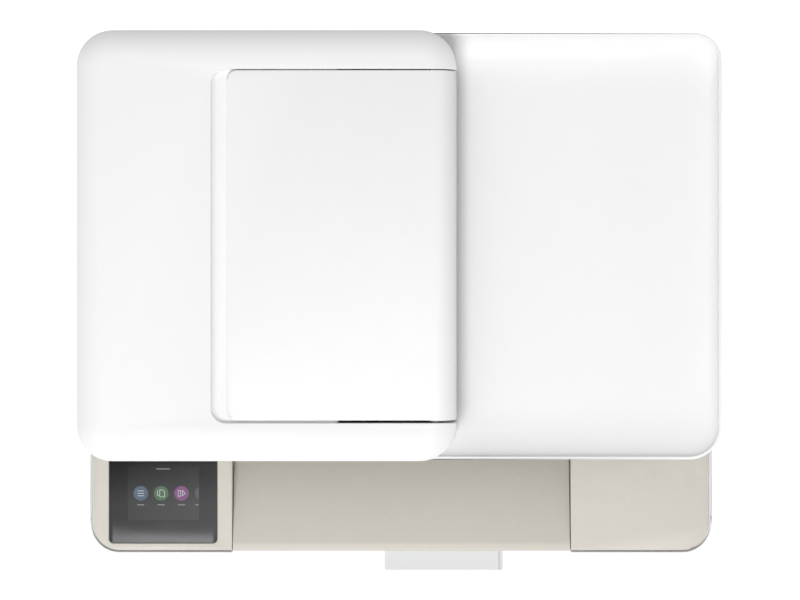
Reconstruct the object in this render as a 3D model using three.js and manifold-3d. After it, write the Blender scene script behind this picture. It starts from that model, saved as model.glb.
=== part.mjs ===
// Inkjet all-in-one printer with a document feeder, built as an assembly of separate parts.
// Millimetres. X runs to the right, the front faces -Y, +Z is up; the origin is under the middle of the object.

import * as THREE from "three";
import { mergeVertices } from "three/addons/utils/BufferGeometryUtils.js";
import Module from "manifold-3d";

const wasm = await Module();
wasm.setup();

// ---------------------------------------------------------------- driving dimensions

const CORNER_STEPS = 5; // facets in a quarter turn of an outline's corner
const ROUND_SIDES = 20; // facets round a roller
const SMALL_SIDES = 12; // facets round a pin or a thin rod
const GAP = 0.4; // between parts that lie against each other
const WALL = 2.5; // moulded plastic shells

// Plan outlines, as { left, right, front, back }.
const LID = { left: -217, right: 217, front: -101, back: 186.5 };
const LID_CORNERS = { frontLeft: 24, frontRight: 22, backRight: 18, backLeft: 24 };
const FEEDER = { left: -217, right: 38, front: -101, back: 186.5 };
const FEEDER_CORNERS = { frontLeft: 24, frontRight: 25, backRight: 25, backLeft: 24 };
const BODY = { left: -216.5, right: 216.5, front: -170.1, back: 176 };
const BODY_CORNERS = { frontLeft: 20.5, frontRight: 20.5, backRight: 15, backLeft: 15 };
const BED = { left: -211, right: 211, front: -97, back: 176 };

// Heights.
const FOOT_HEIGHT = 5;
const PAN_TOP = 8;
const COVER_TOP = 128; // side covers and rear panel
const BED_BOTTOM = 130;
const BED_TOP = 146;
const FRAME_TOP = 149.3;
const LID_BOTTOM = 150.3;
const LID_DECK = 159; // floor under the document feeder
const LID_SEAM = 162.4; // top of the lid under the feeder housing
const LID_RIM = 170; // edge of the output dish
const DISH_FLOOR = 161;
const FEEDER_BOTTOM = 164;
const TOP = 200;
const FEEDER_EDGE = { width: 18, fall: 7.5, angle: 45, draft: 1.4, draftTop: 188 };
const DISH = { left: -30, rim: 2.5, blend: 34, sideBlend: 10, steps: 4 };

// The front: two shoulders let into the covers, with a hinged cover between them that falls away
// towards the back so that fingers reach under the lid.
const COVER_THICK = 3;
const RIM = 1.5; // what shows of the covers round the shoulders
const SHOULDER_TOP = 100;
const SHOULDER_BACK = -62;
const BAY_LEFT = -117.6;
const BAY_RIGHT = 118.1;
const FRONT_FACE = -168.4;
const FRONT_COVER_LIP = -163; // back edge of its flat front band
const FRONT_COVER_BACK = -92.4;
const FRONT_COVER_DROP = 21.5;
const FRONT_COVER_DEPTH = 28;
const FRONT_COVER_HINGE = { y: -95, z: 78 };

// Feeder input tray: folded flat into the feeder housing, hinged near its right end.
const TRAY_HINGE = { x: 24, z: 186 };
const TRAY_ROLL = 14; // radius of the rolled right end, about the hinge
const TRAY_THICK = 3.2;
const TRAY_PLATE = { left: -114.8, right: 60, front: -73.6, back: 159.3 };
const RECESS = { left: -125.4, right: 60, front: -75.4, back: 160.2 };
const RECESS_FLOOR = 196.4;
const THROAT_LEFT = -41;

// Paper path. Axes run along X, given as { y, z }.
const FEED_AXIS = { y: 46, z: 52 };
const FEED_RADIUS = 6.5;
const OUTPUT_AXIS = { y: -18, z: 52 };
const OUTPUT_RADIUS = 4.5;
const IDLER_AXIS = { y: 11, z: 52 };
const PINION_AXIS = { y: 46, z: 26 };
const PINCH_AXIS = { y: 48, z: 63 };
const STAR_AXIS = { y: -18, z: 61 };
const PINCH_RADIUS = 4;
const PICK_PIVOT = { y: 72, z: 50 };
const PICK_AXIS = { y: 105, z: 33 };
const GEAR_LEFT = -203;
const GEAR_WIDTH = 5;

// Carriage drive.
const ROD_AXIS = { y: 66, z: 86 };
const ROD_RADIUS = 4;
const BELT_Y = 78;
const BELT_BOTTOM = 94;
const BELT_TOP = 100;
const PULLEY_RADIUS = 6;
const PULLEY_X = 190;
const CARRIAGE_X = 158;
const CARRIAGE_HALF = 42;

// Hinges. Axes along X are { y, z }, the feeder housing's runs along Y.
const SCANNER_HINGE = { y: 174.5, z: 126.6 };
const SCANNER_HINGE_X = 160;
const LID_HINGE = { y: 177.5, z: 152 };
const LID_HINGE_X = 130;
const HOUSING_HINGE = { x: -215.4, z: 164.2 };
const HOUSING_HINGE_Y = [-45, 130];
const EXIT_Z = 163.1; // axis of the feeder's exit roller
const DECK_HINGE = { y: -36, z: 55.2 };

// ---------------------------------------------------------------- shape helpers

function solid(geometry) {
  const bare = geometry.index ? geometry.toNonIndexed() : geometry.clone();
  bare.deleteAttribute("normal");
  bare.deleteAttribute("uv");
  const merged = mergeVertices(bare, 1e-3);
  const vertProperties = merged.attributes.position.array;
  const triVerts = new Uint32Array(merged.index.array);
  return new wasm.Manifold(new wasm.Mesh({ numProp: 3, vertProperties, triVerts }));
}

function geometryOf(manifold) {
  const { numProp, numVert, vertProperties, triVerts } = manifold.getMesh();
  const points = new Float32Array(numVert * 3);
  for (let i = 0; i < numVert; i++) {
    points.set(vertProperties.subarray(i * numProp, i * numProp + 3), i * 3);
  }
  const geometry = new THREE.BufferGeometry();
  geometry.setAttribute("position", new THREE.BufferAttribute(points, 3));
  geometry.setIndex(new THREE.BufferAttribute(triVerts, 1));
  geometry.computeVertexNormals();
  return geometry;
}

function join(...solids) {
  return solids.reduce((whole, next) => whole.add(next));
}

function cut(whole, ...tools) {
  return tools.reduce((left, tool) => left.subtract(tool), whole);
}

function block(x0, x1, y0, y1, z0, z1) {
  const box = new THREE.BoxGeometry(x1 - x0, y1 - y0, z1 - z0);
  return solid(box.translate((x0 + x1) / 2, (y0 + y1) / 2, (z0 + z1) / 2));
}

// A rounded rectangle, anticlockwise seen from above, drawn in by inset.
function outline(box, corners, inset = 0) {
  const spots = [
    [box.right - inset, box.back - inset, corners.backRight, 0],
    [box.left + inset, box.back - inset, corners.backLeft, 1],
    [box.left + inset, box.front + inset, corners.frontLeft, 2],
    [box.right - inset, box.front + inset, corners.frontRight, 3],
  ];
  const points = [];
  for (const [x, y, corner, quarter] of spots) {
    const radius = Math.max(corner - inset, 0.4);
    const across = quarter === 0 || quarter === 3 ? -1 : 1;
    const along = quarter < 2 ? -1 : 1;
    for (let i = 0; i <= CORNER_STEPS; i++) {
      const angle = ((quarter + i / CORNER_STEPS) * Math.PI) / 2;
      points.push(
        new THREE.Vector2(
          x + across * radius + radius * Math.cos(angle),
          y + along * radius + radius * Math.sin(angle),
        ),
      );
    }
  }
  return points;
}

const even = (radius) => ({
  frontLeft: radius,
  frontRight: radius,
  backRight: radius,
  backLeft: radius,
});

function prism(points, z0, z1) {
  const shape = new THREE.Shape(points);
  const body = new THREE.ExtrudeGeometry(shape, { depth: z1 - z0, bevelEnabled: false });
  return solid(body.translate(0, 0, z0));
}

function slab(box, corners, z0, z1, inset = 0) {
  return prism(outline(box, corners, inset), z0, z1);
}

// A profile of [y, z] points, extruded along X.
function alongX(profile, x0, x1) {
  const shape = new THREE.Shape(profile.map(([y, z]) => new THREE.Vector2(y, z)));
  const body = new THREE.ExtrudeGeometry(shape, { depth: x1 - x0, bevelEnabled: false });
  const turn = new THREE.Matrix4().makeBasis(
    new THREE.Vector3(0, 1, 0),
    new THREE.Vector3(0, 0, 1),
    new THREE.Vector3(1, 0, 0),
  );
  return solid(body.applyMatrix4(turn).translate(x0, 0, 0));
}

// A profile of [x, z] points, extruded along Y.
function alongY(profile, y0, y1) {
  const shape = new THREE.Shape(profile.map(([x, z]) => new THREE.Vector2(x, z)));
  const body = new THREE.ExtrudeGeometry(shape, { depth: y1 - y0, bevelEnabled: false });
  return solid(body.rotateX(Math.PI / 2).translate(0, y1, 0));
}

// Rings of points, each { points, z }, joined from the lowest to the highest and capped.
function loft(rings) {
  const count = rings[0].points.length;
  const triangles = [];
  const at = (ring, i) => {
    const p = rings[ring].points[i % count];
    return [p.x, p.y, rings[ring].z];
  };
  const middle = (ring) => {
    const sum = rings[ring].points.reduce((a, p) => [a[0] + p.x, a[1] + p.y], [0, 0]);
    return [sum[0] / count, sum[1] / count, rings[ring].z];
  };
  const last = rings.length - 1;
  for (let i = 0; i < count; i++) {
    triangles.push(middle(0), at(0, i + 1), at(0, i));
    triangles.push(middle(last), at(last, i), at(last, i + 1));
    for (let r = 0; r < last; r++) {
      triangles.push(at(r, i), at(r, i + 1), at(r + 1, i + 1));
      triangles.push(at(r, i), at(r + 1, i + 1), at(r + 1, i));
    }
  }
  const geometry = new THREE.BufferGeometry();
  const flat = new Float32Array(triangles.flat());
  geometry.setAttribute("position", new THREE.BufferAttribute(flat, 3));
  return solid(geometry);
}

// The feeder's body: a left wall that leans in a little, then an arc that meets the flat top.
function feederDome(z0, top, inset = 0, steps = 4) {
  const { width, fall, angle, draft, draftTop } = FEEDER_EDGE;
  const end = THREE.MathUtils.degToRad(angle);
  const edgeRing = (lean, share, z) => {
    const box = { ...FEEDER, left: FEEDER.left + lean };
    return { points: outline(box, FEEDER_CORNERS, inset + (width - inset) * share), z };
  };
  const rings = [edgeRing(0, 0, z0), edgeRing(draft, 0, draftTop)];
  for (let i = 0; i <= steps; i++) {
    const turn = end * (1 - i / steps);
    const share = 1 - Math.sin(turn) / Math.sin(end);
    const drop = (fall * (1 - Math.cos(turn))) / (1 - Math.cos(end));
    rings.push(edgeRing(draft, share, top - drop));
  }
  return loft(rings);
}

function rodX(axis, radius, x0, x1, sides = ROUND_SIDES) {
  const rod = new THREE.CylinderGeometry(radius, radius, x1 - x0, sides);
  return solid(rod.rotateZ(-Math.PI / 2).translate((x0 + x1) / 2, axis.y, axis.z));
}

function rodY(x, z, radius, y0, y1, sides = ROUND_SIDES) {
  const rod = new THREE.CylinderGeometry(radius, radius, y1 - y0, sides);
  return solid(rod.translate(x, (y0 + y1) / 2, z));
}

function rodZ(x, y, radius, z0, z1, sides = ROUND_SIDES) {
  const rod = new THREE.CylinderGeometry(radius, radius, z1 - z0, sides);
  return solid(rod.rotateX(Math.PI / 2).translate(x, y, (z0 + z1) / 2));
}

// A spur gear of module 1, turning about X, with its first tooth at phase round from +Y.
function gear(axis, teeth, phase, x0, x1, bore) {
  const pitch = teeth / 2;
  const step = (2 * Math.PI) / teeth;
  const profile = [];
  for (let i = 0; i < teeth; i++) {
    const centre = phase + i * step;
    const spots = [
      [pitch - 1, -0.26],
      [pitch + 0.7, -0.11],
      [pitch + 0.7, 0.11],
      [pitch - 1, 0.26],
    ];
    for (const [radius, share] of spots) {
      const angle = centre + share * step;
      profile.push([axis.y + radius * Math.cos(angle), axis.z + radius * Math.sin(angle)]);
    }
  }
  const wheel = alongX(profile, x0, x1);
  return bore ? cut(wheel, rodX(axis, bore, x0 - 1, x1 + 1, SMALL_SIDES)) : wheel;
}

// ---------------------------------------------------------------- materials and the assembly

function plastic(color, roughness = 0.6) {
  return new THREE.MeshStandardMaterial({ color, roughness, metalness: 0 });
}

function metal(color, roughness = 0.35) {
  return new THREE.MeshStandardMaterial({ color, roughness, metalness: 1 });
}

const FINISH = {
  white: plastic(0xf4f5f4, 0.55),
  sand: plastic(0xd8d4cb, 0.55),
  deck: plastic(0xc7c3ba, 0.6),
  inner: plastic(0x3a3c3e, 0.7),
  grey: plastic(0x8d9092, 0.7),
  glass: plastic(0x2b2c2e, 0.1),
  clear: plastic(0xbfd4cf, 0.05),
  rubber: plastic(0x2a2a2a, 0.9),
  green: plastic(0x1d5a37, 0.5),
  steel: metal(0xb9bcc0),
  brass: metal(0xb08d4a),
};

const printer = new THREE.Group();

function add(name, shape, material) {
  const mesh = new THREE.Mesh(geometryOf(shape), material);
  mesh.name = name;
  printer.add(mesh);
}

// ---------------------------------------------------------------- base

function baseOutside() {
  for (const [end, y] of [["front", -120], ["rear", 150]]) {
    const strip = { left: -175, right: 175, front: y - 9, back: y + 9 };
    add(`foot_strip_${end}`, slab(strip, even(8.9), 0, FOOT_HEIGHT - GAP), FINISH.rubber);
  }

  const wrap = 192.5; // the covers wrap round the rear corners to here
  const ring = cut(
    slab(BODY, BODY_CORNERS, PAN_TOP + GAP, COVER_TOP),
    slab(BODY, BODY_CORNERS, 0, COVER_TOP + 1, COVER_THICK),
    slab(BODY, BODY_CORNERS, SHOULDER_TOP - 3, SHOULDER_TOP + 0.4, RIM).intersect(
      block(-230, 230, -200, SHOULDER_BACK + GAP, 0, 200),
    ),
    // Their upper edge is level round the shoulders and climbs under the lid.
    alongX([[-200, SHOULDER_TOP], [-78, SHOULDER_TOP], [-64, 200], [-200, 200]], -230, 230),
  );
  const sideBlock = (x0, x1) => block(x0, x1, -200, 200, 0, 200);
  const frontBlock = (x0, x1) => block(x0, x1, -200, BODY.front + COVER_THICK + 0.1, 0, 200);
  const leftPart = join(sideBlock(-220, -wrap), frontBlock(-wrap - 1, BAY_LEFT - GAP));
  const rightPart = join(sideBlock(wrap, 220), frontBlock(BAY_RIGHT + GAP, wrap + 1));
  add("side_cover_left", ring.intersect(leftPart), FINISH.white);
  add("side_cover_right", ring.intersect(rightPart), FINISH.white);

  const vents = [];
  for (let i = 0; i < 9; i++) {
    const x = -60 + i * 15;
    vents.push(block(x - 5, x + 5, 170, 180, 96, 99));
  }
  // Bosses for the main board inside, lugs for the scanner's hinge pins at the top.
  const bosses = [];
  for (const x of [28, 176]) {
    for (const z of [22, 96]) {
      bosses.push(rodY(x, z, 3, 166, 174, SMALL_SIDES));
    }
  }
  const lugs = [];
  const notches = [];
  for (const x of [-SCANNER_HINGE_X, SCANNER_HINGE_X]) {
    for (const offset of [-11.5, 11.5]) {
      const [x0, x1] = [x + offset - 2.5, x + offset + 2.5];
      lugs.push(rodX(SCANNER_HINGE, 2.6, x0, x1, 16), block(x0, x1, 171.9, 177.1, 118, SCANNER_HINGE.z));
    }
    notches.push(block(x - 9, x + 9, 170, 180, 122, 140));
    notches.push(rodX(SCANNER_HINGE, 1.5, x - 20, x + 20, SMALL_SIDES));
  }
  const plate = block(-wrap + GAP, wrap - GAP, BODY.back - 3, BODY.back, PAN_TOP + GAP, COVER_TOP);
  const rear = cut(
    join(plate, ...bosses, ...lugs),
    ...notches,
    block(-181.5, -154.5, 170, 180, 21.5, 42.5),
    rodY(150, 60, 7.6, 170, 180),
    ...vents,
  );
  add("rear_panel", rear, FINISH.white);
}

// A front corner of the body's top: a plate with a skirt inside the covers and a wall along the bay.
function shoulder(xEdges, corners, bayWall) {
  const [left, right] = xEdges;
  const box = { left, right, front: BODY.front + RIM + GAP, back: SHOULDER_BACK };
  const plate = slab(box, corners, SHOULDER_TOP - WALL, SHOULDER_TOP);
  const skirtInset = COVER_THICK - RIM;
  const skirt = cut(
    slab(box, corners, SHOULDER_TOP - 14, SHOULDER_TOP - 1, skirtInset),
    slab(box, corners, 0, SHOULDER_TOP - WALL, skirtInset + RIM),
  );
  const wallFront = BODY.front + COVER_THICK + GAP;
  const wall = block(...bayWall, wallFront, SHOULDER_BACK, PAN_TOP + GAP, SHOULDER_TOP);
  const hingeHole = rodX(FRONT_COVER_HINGE, 1.6, -122, 122, SMALL_SIDES);
  return cut(join(plate, skirt, wall), hingeHole);
}

function front() {
  const outer = BODY.right - RIM - GAP;
  const corner = BODY_CORNERS.frontLeft - RIM - GAP;
  const leftCorners = { ...even(0.5), frontLeft: corner };
  const rightCorners = { ...even(0.5), frontRight: corner };
  const leftShell = shoulder([-outer, BAY_LEFT], leftCorners, [BAY_LEFT - WALL, BAY_LEFT]);
  const rightShell = shoulder([BAY_RIGHT, outer], rightCorners, [BAY_RIGHT, BAY_RIGHT + WALL]);

  // Touch display: a glass plate let into the left shoulder over a window.
  const glassBox = { left: -203.1, right: -128.1, front: -162.6, back: -97.5 };
  const glassCorners = { ...even(0.5), frontLeft: 3, frontRight: 3 };
  const pocket = slab(glassBox, glassCorners, SHOULDER_TOP - 1.7, SHOULDER_TOP + 3, -GAP);
  const window = slab(glassBox, even(1), SHOULDER_TOP - 16, SHOULDER_TOP + 3, 4);
  add("shoulder_left", cut(leftShell, pocket, window), FINISH.sand);
  add("shoulder_right", rightShell, FINISH.sand);
  const display = join(
    slab(glassBox, glassCorners, SHOULDER_TOP - 1.3, SHOULDER_TOP),
    slab(glassBox, even(1), SHOULDER_TOP - 6, SHOULDER_TOP - 1, 6),
  );
  add("touch_display", display, FINISH.glass);

  // The hinged front cover: a front face, a flat lip and a plate that falls away to its hinge.
  const top = SHOULDER_TOP;
  const back = FRONT_COVER_BACK;
  const section = [
    [FRONT_FACE, top - FRONT_COVER_DEPTH],
    [FRONT_FACE + WALL, top - FRONT_COVER_DEPTH],
    [FRONT_FACE + WALL, top - WALL],
    [FRONT_COVER_LIP, top - WALL],
    [back, top - FRONT_COVER_DROP - WALL],
    [back, top - FRONT_COVER_DROP],
    [FRONT_COVER_LIP, top],
    [FRONT_FACE + 1.5, top],
    [FRONT_FACE + 0.4, top - 0.4],
    [FRONT_FACE, top - 1.5],
  ];
  const cover = join(
    alongX(section, BAY_LEFT + GAP, BAY_RIGHT - GAP),
    rodX(FRONT_COVER_HINGE, 1.2, BAY_LEFT - 2, BAY_RIGHT + 2, SMALL_SIDES),
  );
  add("front_cover", cover, FINISH.sand);
}

// ---------------------------------------------------------------- print engine

function paperPath() {
  // The base pan carries every shaft: two cheeks outside the paper tray, tied over the top, and a
  // plate for the gears with a stub for the idler. Two walls carry on from the shoulders to the
  // bay's back wall.
  const panBox = { left: -208, right: 208, front: -143, back: 172 };
  const cheek = (x0, x1) =>
    join(
      block(x0, x1, -34, 130, PAN_TOP - 1, 59.5),
      block(x0, x1, PINCH_AXIS.y - 7, PINCH_AXIS.y + 7, 58, 68),
      block(x0, x1, STAR_AXIS.y - 7, STAR_AXIS.y + 7, 58, 66),
    );
  const chassis = join(
    slab(panBox, even(10), FOOT_HEIGHT, PAN_TOP),
    cheek(-121, -118),
    cheek(118, 121),
    block(-119, 119, 124, 128, 46, 60),
    block(-197.2, -195.4, -36, 66, PAN_TOP - 1, 62),
    rodX(IDLER_AXIS, 1.6, -203, -196, SMALL_SIDES),
    block(BAY_LEFT - WALL, BAY_LEFT, SHOULDER_BACK + GAP, -39.6, PAN_TOP - 1, COVER_TOP),
    block(BAY_RIGHT, BAY_RIGHT + WALL, SHOULDER_BACK + GAP, -39.6, PAN_TOP - 1, COVER_TOP),
    block(BAY_LEFT - 1, BAY_RIGHT + 1, -42, -39.6, 64, COVER_TOP),
  );
  const holes = [
    rodX(FEED_AXIS, 3.4, -200, 130, SMALL_SIDES),
    rodX(OUTPUT_AXIS, 2.8, -200, 130, SMALL_SIDES),
    rodX(PICK_PIVOT, 3.4, -130, 130, SMALL_SIDES),
    rodX(PINCH_AXIS, 2, -130, 130, SMALL_SIDES),
    rodX(STAR_AXIS, 1.4, -130, 130, SMALL_SIDES),
    rodX(PINION_AXIS, 2.2, -200, -190, SMALL_SIDES),
  ];
  add("chassis_base", cut(chassis, ...holes), FINISH.inner);

  const platen = block(-116, 116, -8, 36, 50, 56);
  const ribs = [];
  for (let i = 0; i < 7; i++) {
    const x = -102 + i * 34;
    ribs.push(block(x - 1, x + 1, -6, 34, 55, 57.5));
  }
  add("platen", join(platen, ...ribs), FINISH.inner);

  const gearRight = GEAR_LEFT + GEAR_WIDTH;
  const feedRoller = join(
    rodX(FEED_AXIS, FEED_RADIUS, -115, 115),
    rodX(FEED_AXIS, 3, GEAR_LEFT, 121, SMALL_SIDES),
    gear(FEED_AXIS, 40, 0, GEAR_LEFT, gearRight, 0),
  );
  add("feed_roller", feedRoller, FINISH.rubber);
  const outputRoller = join(
    rodX(OUTPUT_AXIS, OUTPUT_RADIUS, -115, 115),
    rodX(OUTPUT_AXIS, 2.4, GEAR_LEFT, 121, SMALL_SIDES),
    gear(OUTPUT_AXIS, 28, 0, GEAR_LEFT, gearRight, 0),
  );
  add("output_roller", outputRoller, FINISH.rubber);
  add("idler_gear", gear(IDLER_AXIS, 30, Math.PI / 30, GEAR_LEFT, gearRight, 2), FINISH.grey);
  const pinionPhase = Math.PI / 12;
  const pinion = join(
    gear(PINION_AXIS, 12, pinionPhase, GEAR_LEFT, gearRight, 0),
    rodX(PINION_AXIS, 1.6, GEAR_LEFT, -191, SMALL_SIDES),
  );
  add("motor_pinion", pinion, FINISH.brass);
  const motorCan = cut(
    rodX(PINION_AXIS, 12, -195, -168),
    rodX(PINION_AXIS, 2.2, -198, -190, SMALL_SIDES),
  );
  add("feed_motor", motorCan, FINISH.steel);

  const wheels = (axis, radius, width, spacing, count, shaft) => {
    const parts = [rodX(axis, shaft, -121, 121, SMALL_SIDES)];
    for (let i = 0; i < count; i++) {
      const x = (i - (count - 1) / 2) * spacing;
      parts.push(rodX(axis, radius, x - width / 2, x + width / 2, 16));
    }
    return join(...parts);
  };
  add("pinch_roller", wheels(PINCH_AXIS, PINCH_RADIUS, 20, 52, 4, 1.6), FINISH.grey);
  add("star_wheel_shaft", wheels(STAR_AXIS, 4, 2, 34, 6, 1), FINISH.steel);

  const away = { y: PICK_AXIS.y - PICK_PIVOT.y, z: PICK_AXIS.z - PICK_PIVOT.z };
  const reach = Math.hypot(away.y, away.z);
  const [ny, nz] = [-away.z / reach, away.y / reach];
  const half = 6;
  const lever = [
    [PICK_PIVOT.y + ny * half, PICK_PIVOT.z + nz * half],
    [PICK_PIVOT.y - ny * half, PICK_PIVOT.z - nz * half],
    [PICK_AXIS.y - ny * half, PICK_AXIS.z - nz * half],
    [PICK_AXIS.y + ny * half, PICK_AXIS.z + nz * half],
  ];
  const pickArm = join(
    alongX(lever, -18, -14),
    rodX(PICK_PIVOT, 3, -117, 117, SMALL_SIDES),
    rodX(PICK_AXIS, 2.2, -18, 13, SMALL_SIDES),
  );
  add("pick_arm", pickArm, FINISH.inner);
  const tyre = cut(rodX(PICK_AXIS, 9, -12, 12), rodX(PICK_AXIS, 2.6, -13, 13, SMALL_SIDES));
  add("pick_roller", tyre, FINISH.rubber);
}

function carriageDrive() {
  // A folded steel rail with an ear at each end that holds the carriage rod.
  const rail = join(
    block(-206, 206, 88, 90, 64, 118),
    block(-206, 206, 80, 89, 116, 118),
    block(-208, -205.5, 54, 90, PAN_TOP + GAP, 118),
    block(205.5, 208, 54, 90, PAN_TOP + GAP, 118),
    block(-PULLEY_X - 10, -PULLEY_X + 10, 70, 89, 92.4, 93.4), // the carriage motor's plate
    block(PULLEY_X - 7, PULLEY_X + 7, 72, 89, 102, 104),
    rodZ(PULLEY_X, BELT_Y, 1.6, 91, 103, SMALL_SIDES), // the idler's pin
  );
  const shaftHole = rodZ(-PULLEY_X, BELT_Y, 2.4, 90, 95, SMALL_SIDES);
  const rodHole = rodX(ROD_AXIS, ROD_RADIUS + GAP, -210, 210);
  add("carriage_rail", cut(rail, rodHole, shaftHole), FINISH.steel);
  add("carriage_rod", rodX(ROD_AXIS, ROD_RADIUS, -209.5, 209.5), FINISH.steel);

  const loop = (radius, z0, z1) => {
    const box = {
      left: -PULLEY_X - radius,
      right: PULLEY_X + radius,
      front: BELT_Y - radius,
      back: BELT_Y + radius,
    };
    return slab(box, even(radius), z0, z1);
  };
  const belt = cut(loop(PULLEY_RADIUS + 1.6, BELT_BOTTOM, BELT_TOP), loop(PULLEY_RADIUS + 0.5, 0, 120));
  add("timing_belt", belt, FINISH.rubber);
  const pulley = (x) => rodZ(x, BELT_Y, PULLEY_RADIUS, BELT_BOTTOM, BELT_TOP, SMALL_SIDES);
  const motorPulley = join(pulley(-PULLEY_X), rodZ(-PULLEY_X, BELT_Y, 1.6, 88, 101, 8));
  add("motor_pulley", motorPulley, FINISH.brass);
  const carriageMotor = cut(
    rodZ(-PULLEY_X, BELT_Y, 7.4, 58, 92),
    rodZ(-PULLEY_X, BELT_Y, 2.2, 86, 94, SMALL_SIDES),
  );
  add("carriage_motor", carriageMotor, FINISH.steel);
  const idlerBore = rodZ(PULLEY_X, BELT_Y, 2, 90, 105, SMALL_SIDES);
  add("idler_pulley", cut(pulley(PULLEY_X), idlerBore), FINISH.grey);
}

function carriage() {
  const left = CARRIAGE_X - CARRIAGE_HALF;
  const right = CARRIAGE_X + CARRIAGE_HALF;
  // The print head hangs low at the front and clears the pinch roller at the back.
  const low = [[0, 61], [36, 61], [36, 74], [60, 74]];
  const side = [...low, [60, 113], [57.8, 113], [57.8, 107.7], [0, 100]];
  const bay = (x0, x1) => block(x0, x1, 3, 54, 64, 120).subtract(block(x0, x1, 33, 60, 60, 77));
  const body = cut(
    join(
      alongX(side, left, right),
      block(left + 20, right - 20, 59, 71, 78, 92),
      block(CARRIAGE_X - 9, CARRIAGE_X + 9, 59, 69.6, 91, 102), // it grips the belt here
    ),
    bay(left + 3, CARRIAGE_X - 2),
    bay(CARRIAGE_X + 2, right - 3),
    rodX(ROD_AXIS, ROD_RADIUS + GAP, left, right),
  );
  add("carriage", body, FINISH.inner);
  const cartridge = (x0, x1) =>
    alongX([[4, 64.5], [32, 64.5], [32, 78], [52, 78], [52, 102], [4, 97]], x0 + GAP, x1 - GAP);
  add("black_cartridge", cartridge(left + 3, CARRIAGE_X - 2), FINISH.inner);
  add("colour_cartridge", cartridge(CARRIAGE_X + 2, right - 3), FINISH.inner);
  const latch = (x0, x1) => alongX([[-1, 101.5], [57, 109.5], [57, 112.5], [-1, 104.5]], x0, x1);
  add("cartridge_latch_black", latch(left + 2, CARRIAGE_X - 1), FINISH.grey);
  add("cartridge_latch_colour", latch(CARRIAGE_X + 1, right - 2), FINISH.grey);
}

function modules() {
  const caps = [block(130, 152, 6, 34, 54, 58.5), block(164, 186, 6, 34, 54, 58.5)];
  add("service_station", join(block(124, 200, 0, 50, PAN_TOP + GAP, 55), ...caps), FINISH.grey);
  const chips = [
    block(60, 84, 160, 164.2, 50, 74),
    block(110, 124, 158, 164.2, 24, 36),
    block(130, 138, 156, 164.2, 70, 90),
  ];
  add("main_board", join(block(20, 185, 164, 165.6, 14, 104), ...chips), FINISH.green);
  add("power_supply", block(-206, -140, 100, 157, PAN_TOP + GAP, 52), FINISH.inner);
  // The mains inlet: a figure-of-eight socket with two pins.
  const well = join(
    rodY(-172.3, 32, 4.6, 166, 180, 16),
    rodY(-163.7, 32, 4.6, 166, 180, 16),
    block(-172.3, -163.7, 166, 180, 27.6, 36.4),
  );
  const inlet = join(
    cut(block(-181, -155, 158, BODY.back + 0.5, 22, 42), well),
    rodY(-172.3, 32, 1.2, 160, 174, 8),
    rodY(-163.7, 32, 1.2, 160, 174, 8),
  );
  add("power_inlet", inlet, FINISH.inner);
  add("power_button", rodY(150, 60, 7, 170, BODY.back + 1.6), FINISH.grey);
}

// ---------------------------------------------------------------- paper tray

function paperTray() {
  const pan = cut(
    block(-113, 113, -163, 140, PAN_TOP + GAP, 44),
    block(-110.6, 110.6, -160.5, 137.5, 11, 60),
    block(-111, 111, 100, 160, 20, 60), // a low rear wall, so that paper can leave over it
  );
  // Two lugs hold the output deck's pins, two channels hold the extender.
  const lug = (x0, x1) => block(x0, x1, -42, -30, 40, 59);
  const channel = (x0, x1) => block(x0, x1, -161, -62, 41, 48.8);
  const tray = join(pan, lug(-113, -110.6), lug(110.6, 113), channel(-16.2, -9.2), channel(68.8, 75.8));
  const slide = block(-13.2, 72.8, -170, -55, 42.8, 47);
  const pinHoles = rodX(DECK_HINGE, 1.6, -115, 115, SMALL_SIDES);
  add("paper_tray", cut(tray, slide, pinHoles), FINISH.inner);
  const slotCut = block(-13.6, 73.2, -170, -150, 42.5, 47.4);
  const face = [
    [FRONT_FACE, 9.5],
    [-163.4, 9.5],
    [-163.4, 49.5],
    [-159.5, 49.5],
    [-159.5, 53.6],
    [-162.8, 53.6],
    [-162.8, 60],
    [-164, 61.2],
    [-166, 61.2],
    [FRONT_FACE, 59.7],
  ];
  add("tray_front", cut(alongX(face, BAY_LEFT + 0.6, BAY_RIGHT - 0.6), slotCut), FINISH.white);
  const deck = join(
    block(-115.3, 116.8, -162.2, -44, 54, 56.4),
    block(-109.6, 109.6, -50, -29, 54, 56.4),
    rodX(DECK_HINGE, 1.2, -112.6, 112.6, SMALL_SIDES),
  );
  add("output_deck", deck, FINISH.deck);
  const extender = slab({ left: -12.6, right: 72.2, front: -186.5, back: -60 }, even(2), 43.4, 46.4);
  add("tray_extender", extender, FINISH.white);
  const fence = (wallLeft, baseLeft, baseRight) =>
    join(
      block(wallLeft, wallLeft + 2, -110, -30, 12, 38),
      block(baseLeft, baseRight, -90, -50, 12, 14.2),
    );
  add("paper_guide_left", fence(-108, -108, -85), FINISH.grey);
  add("paper_guide_right", fence(106, 85, 108), FINISH.grey);
}

// ---------------------------------------------------------------- scanner

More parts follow.
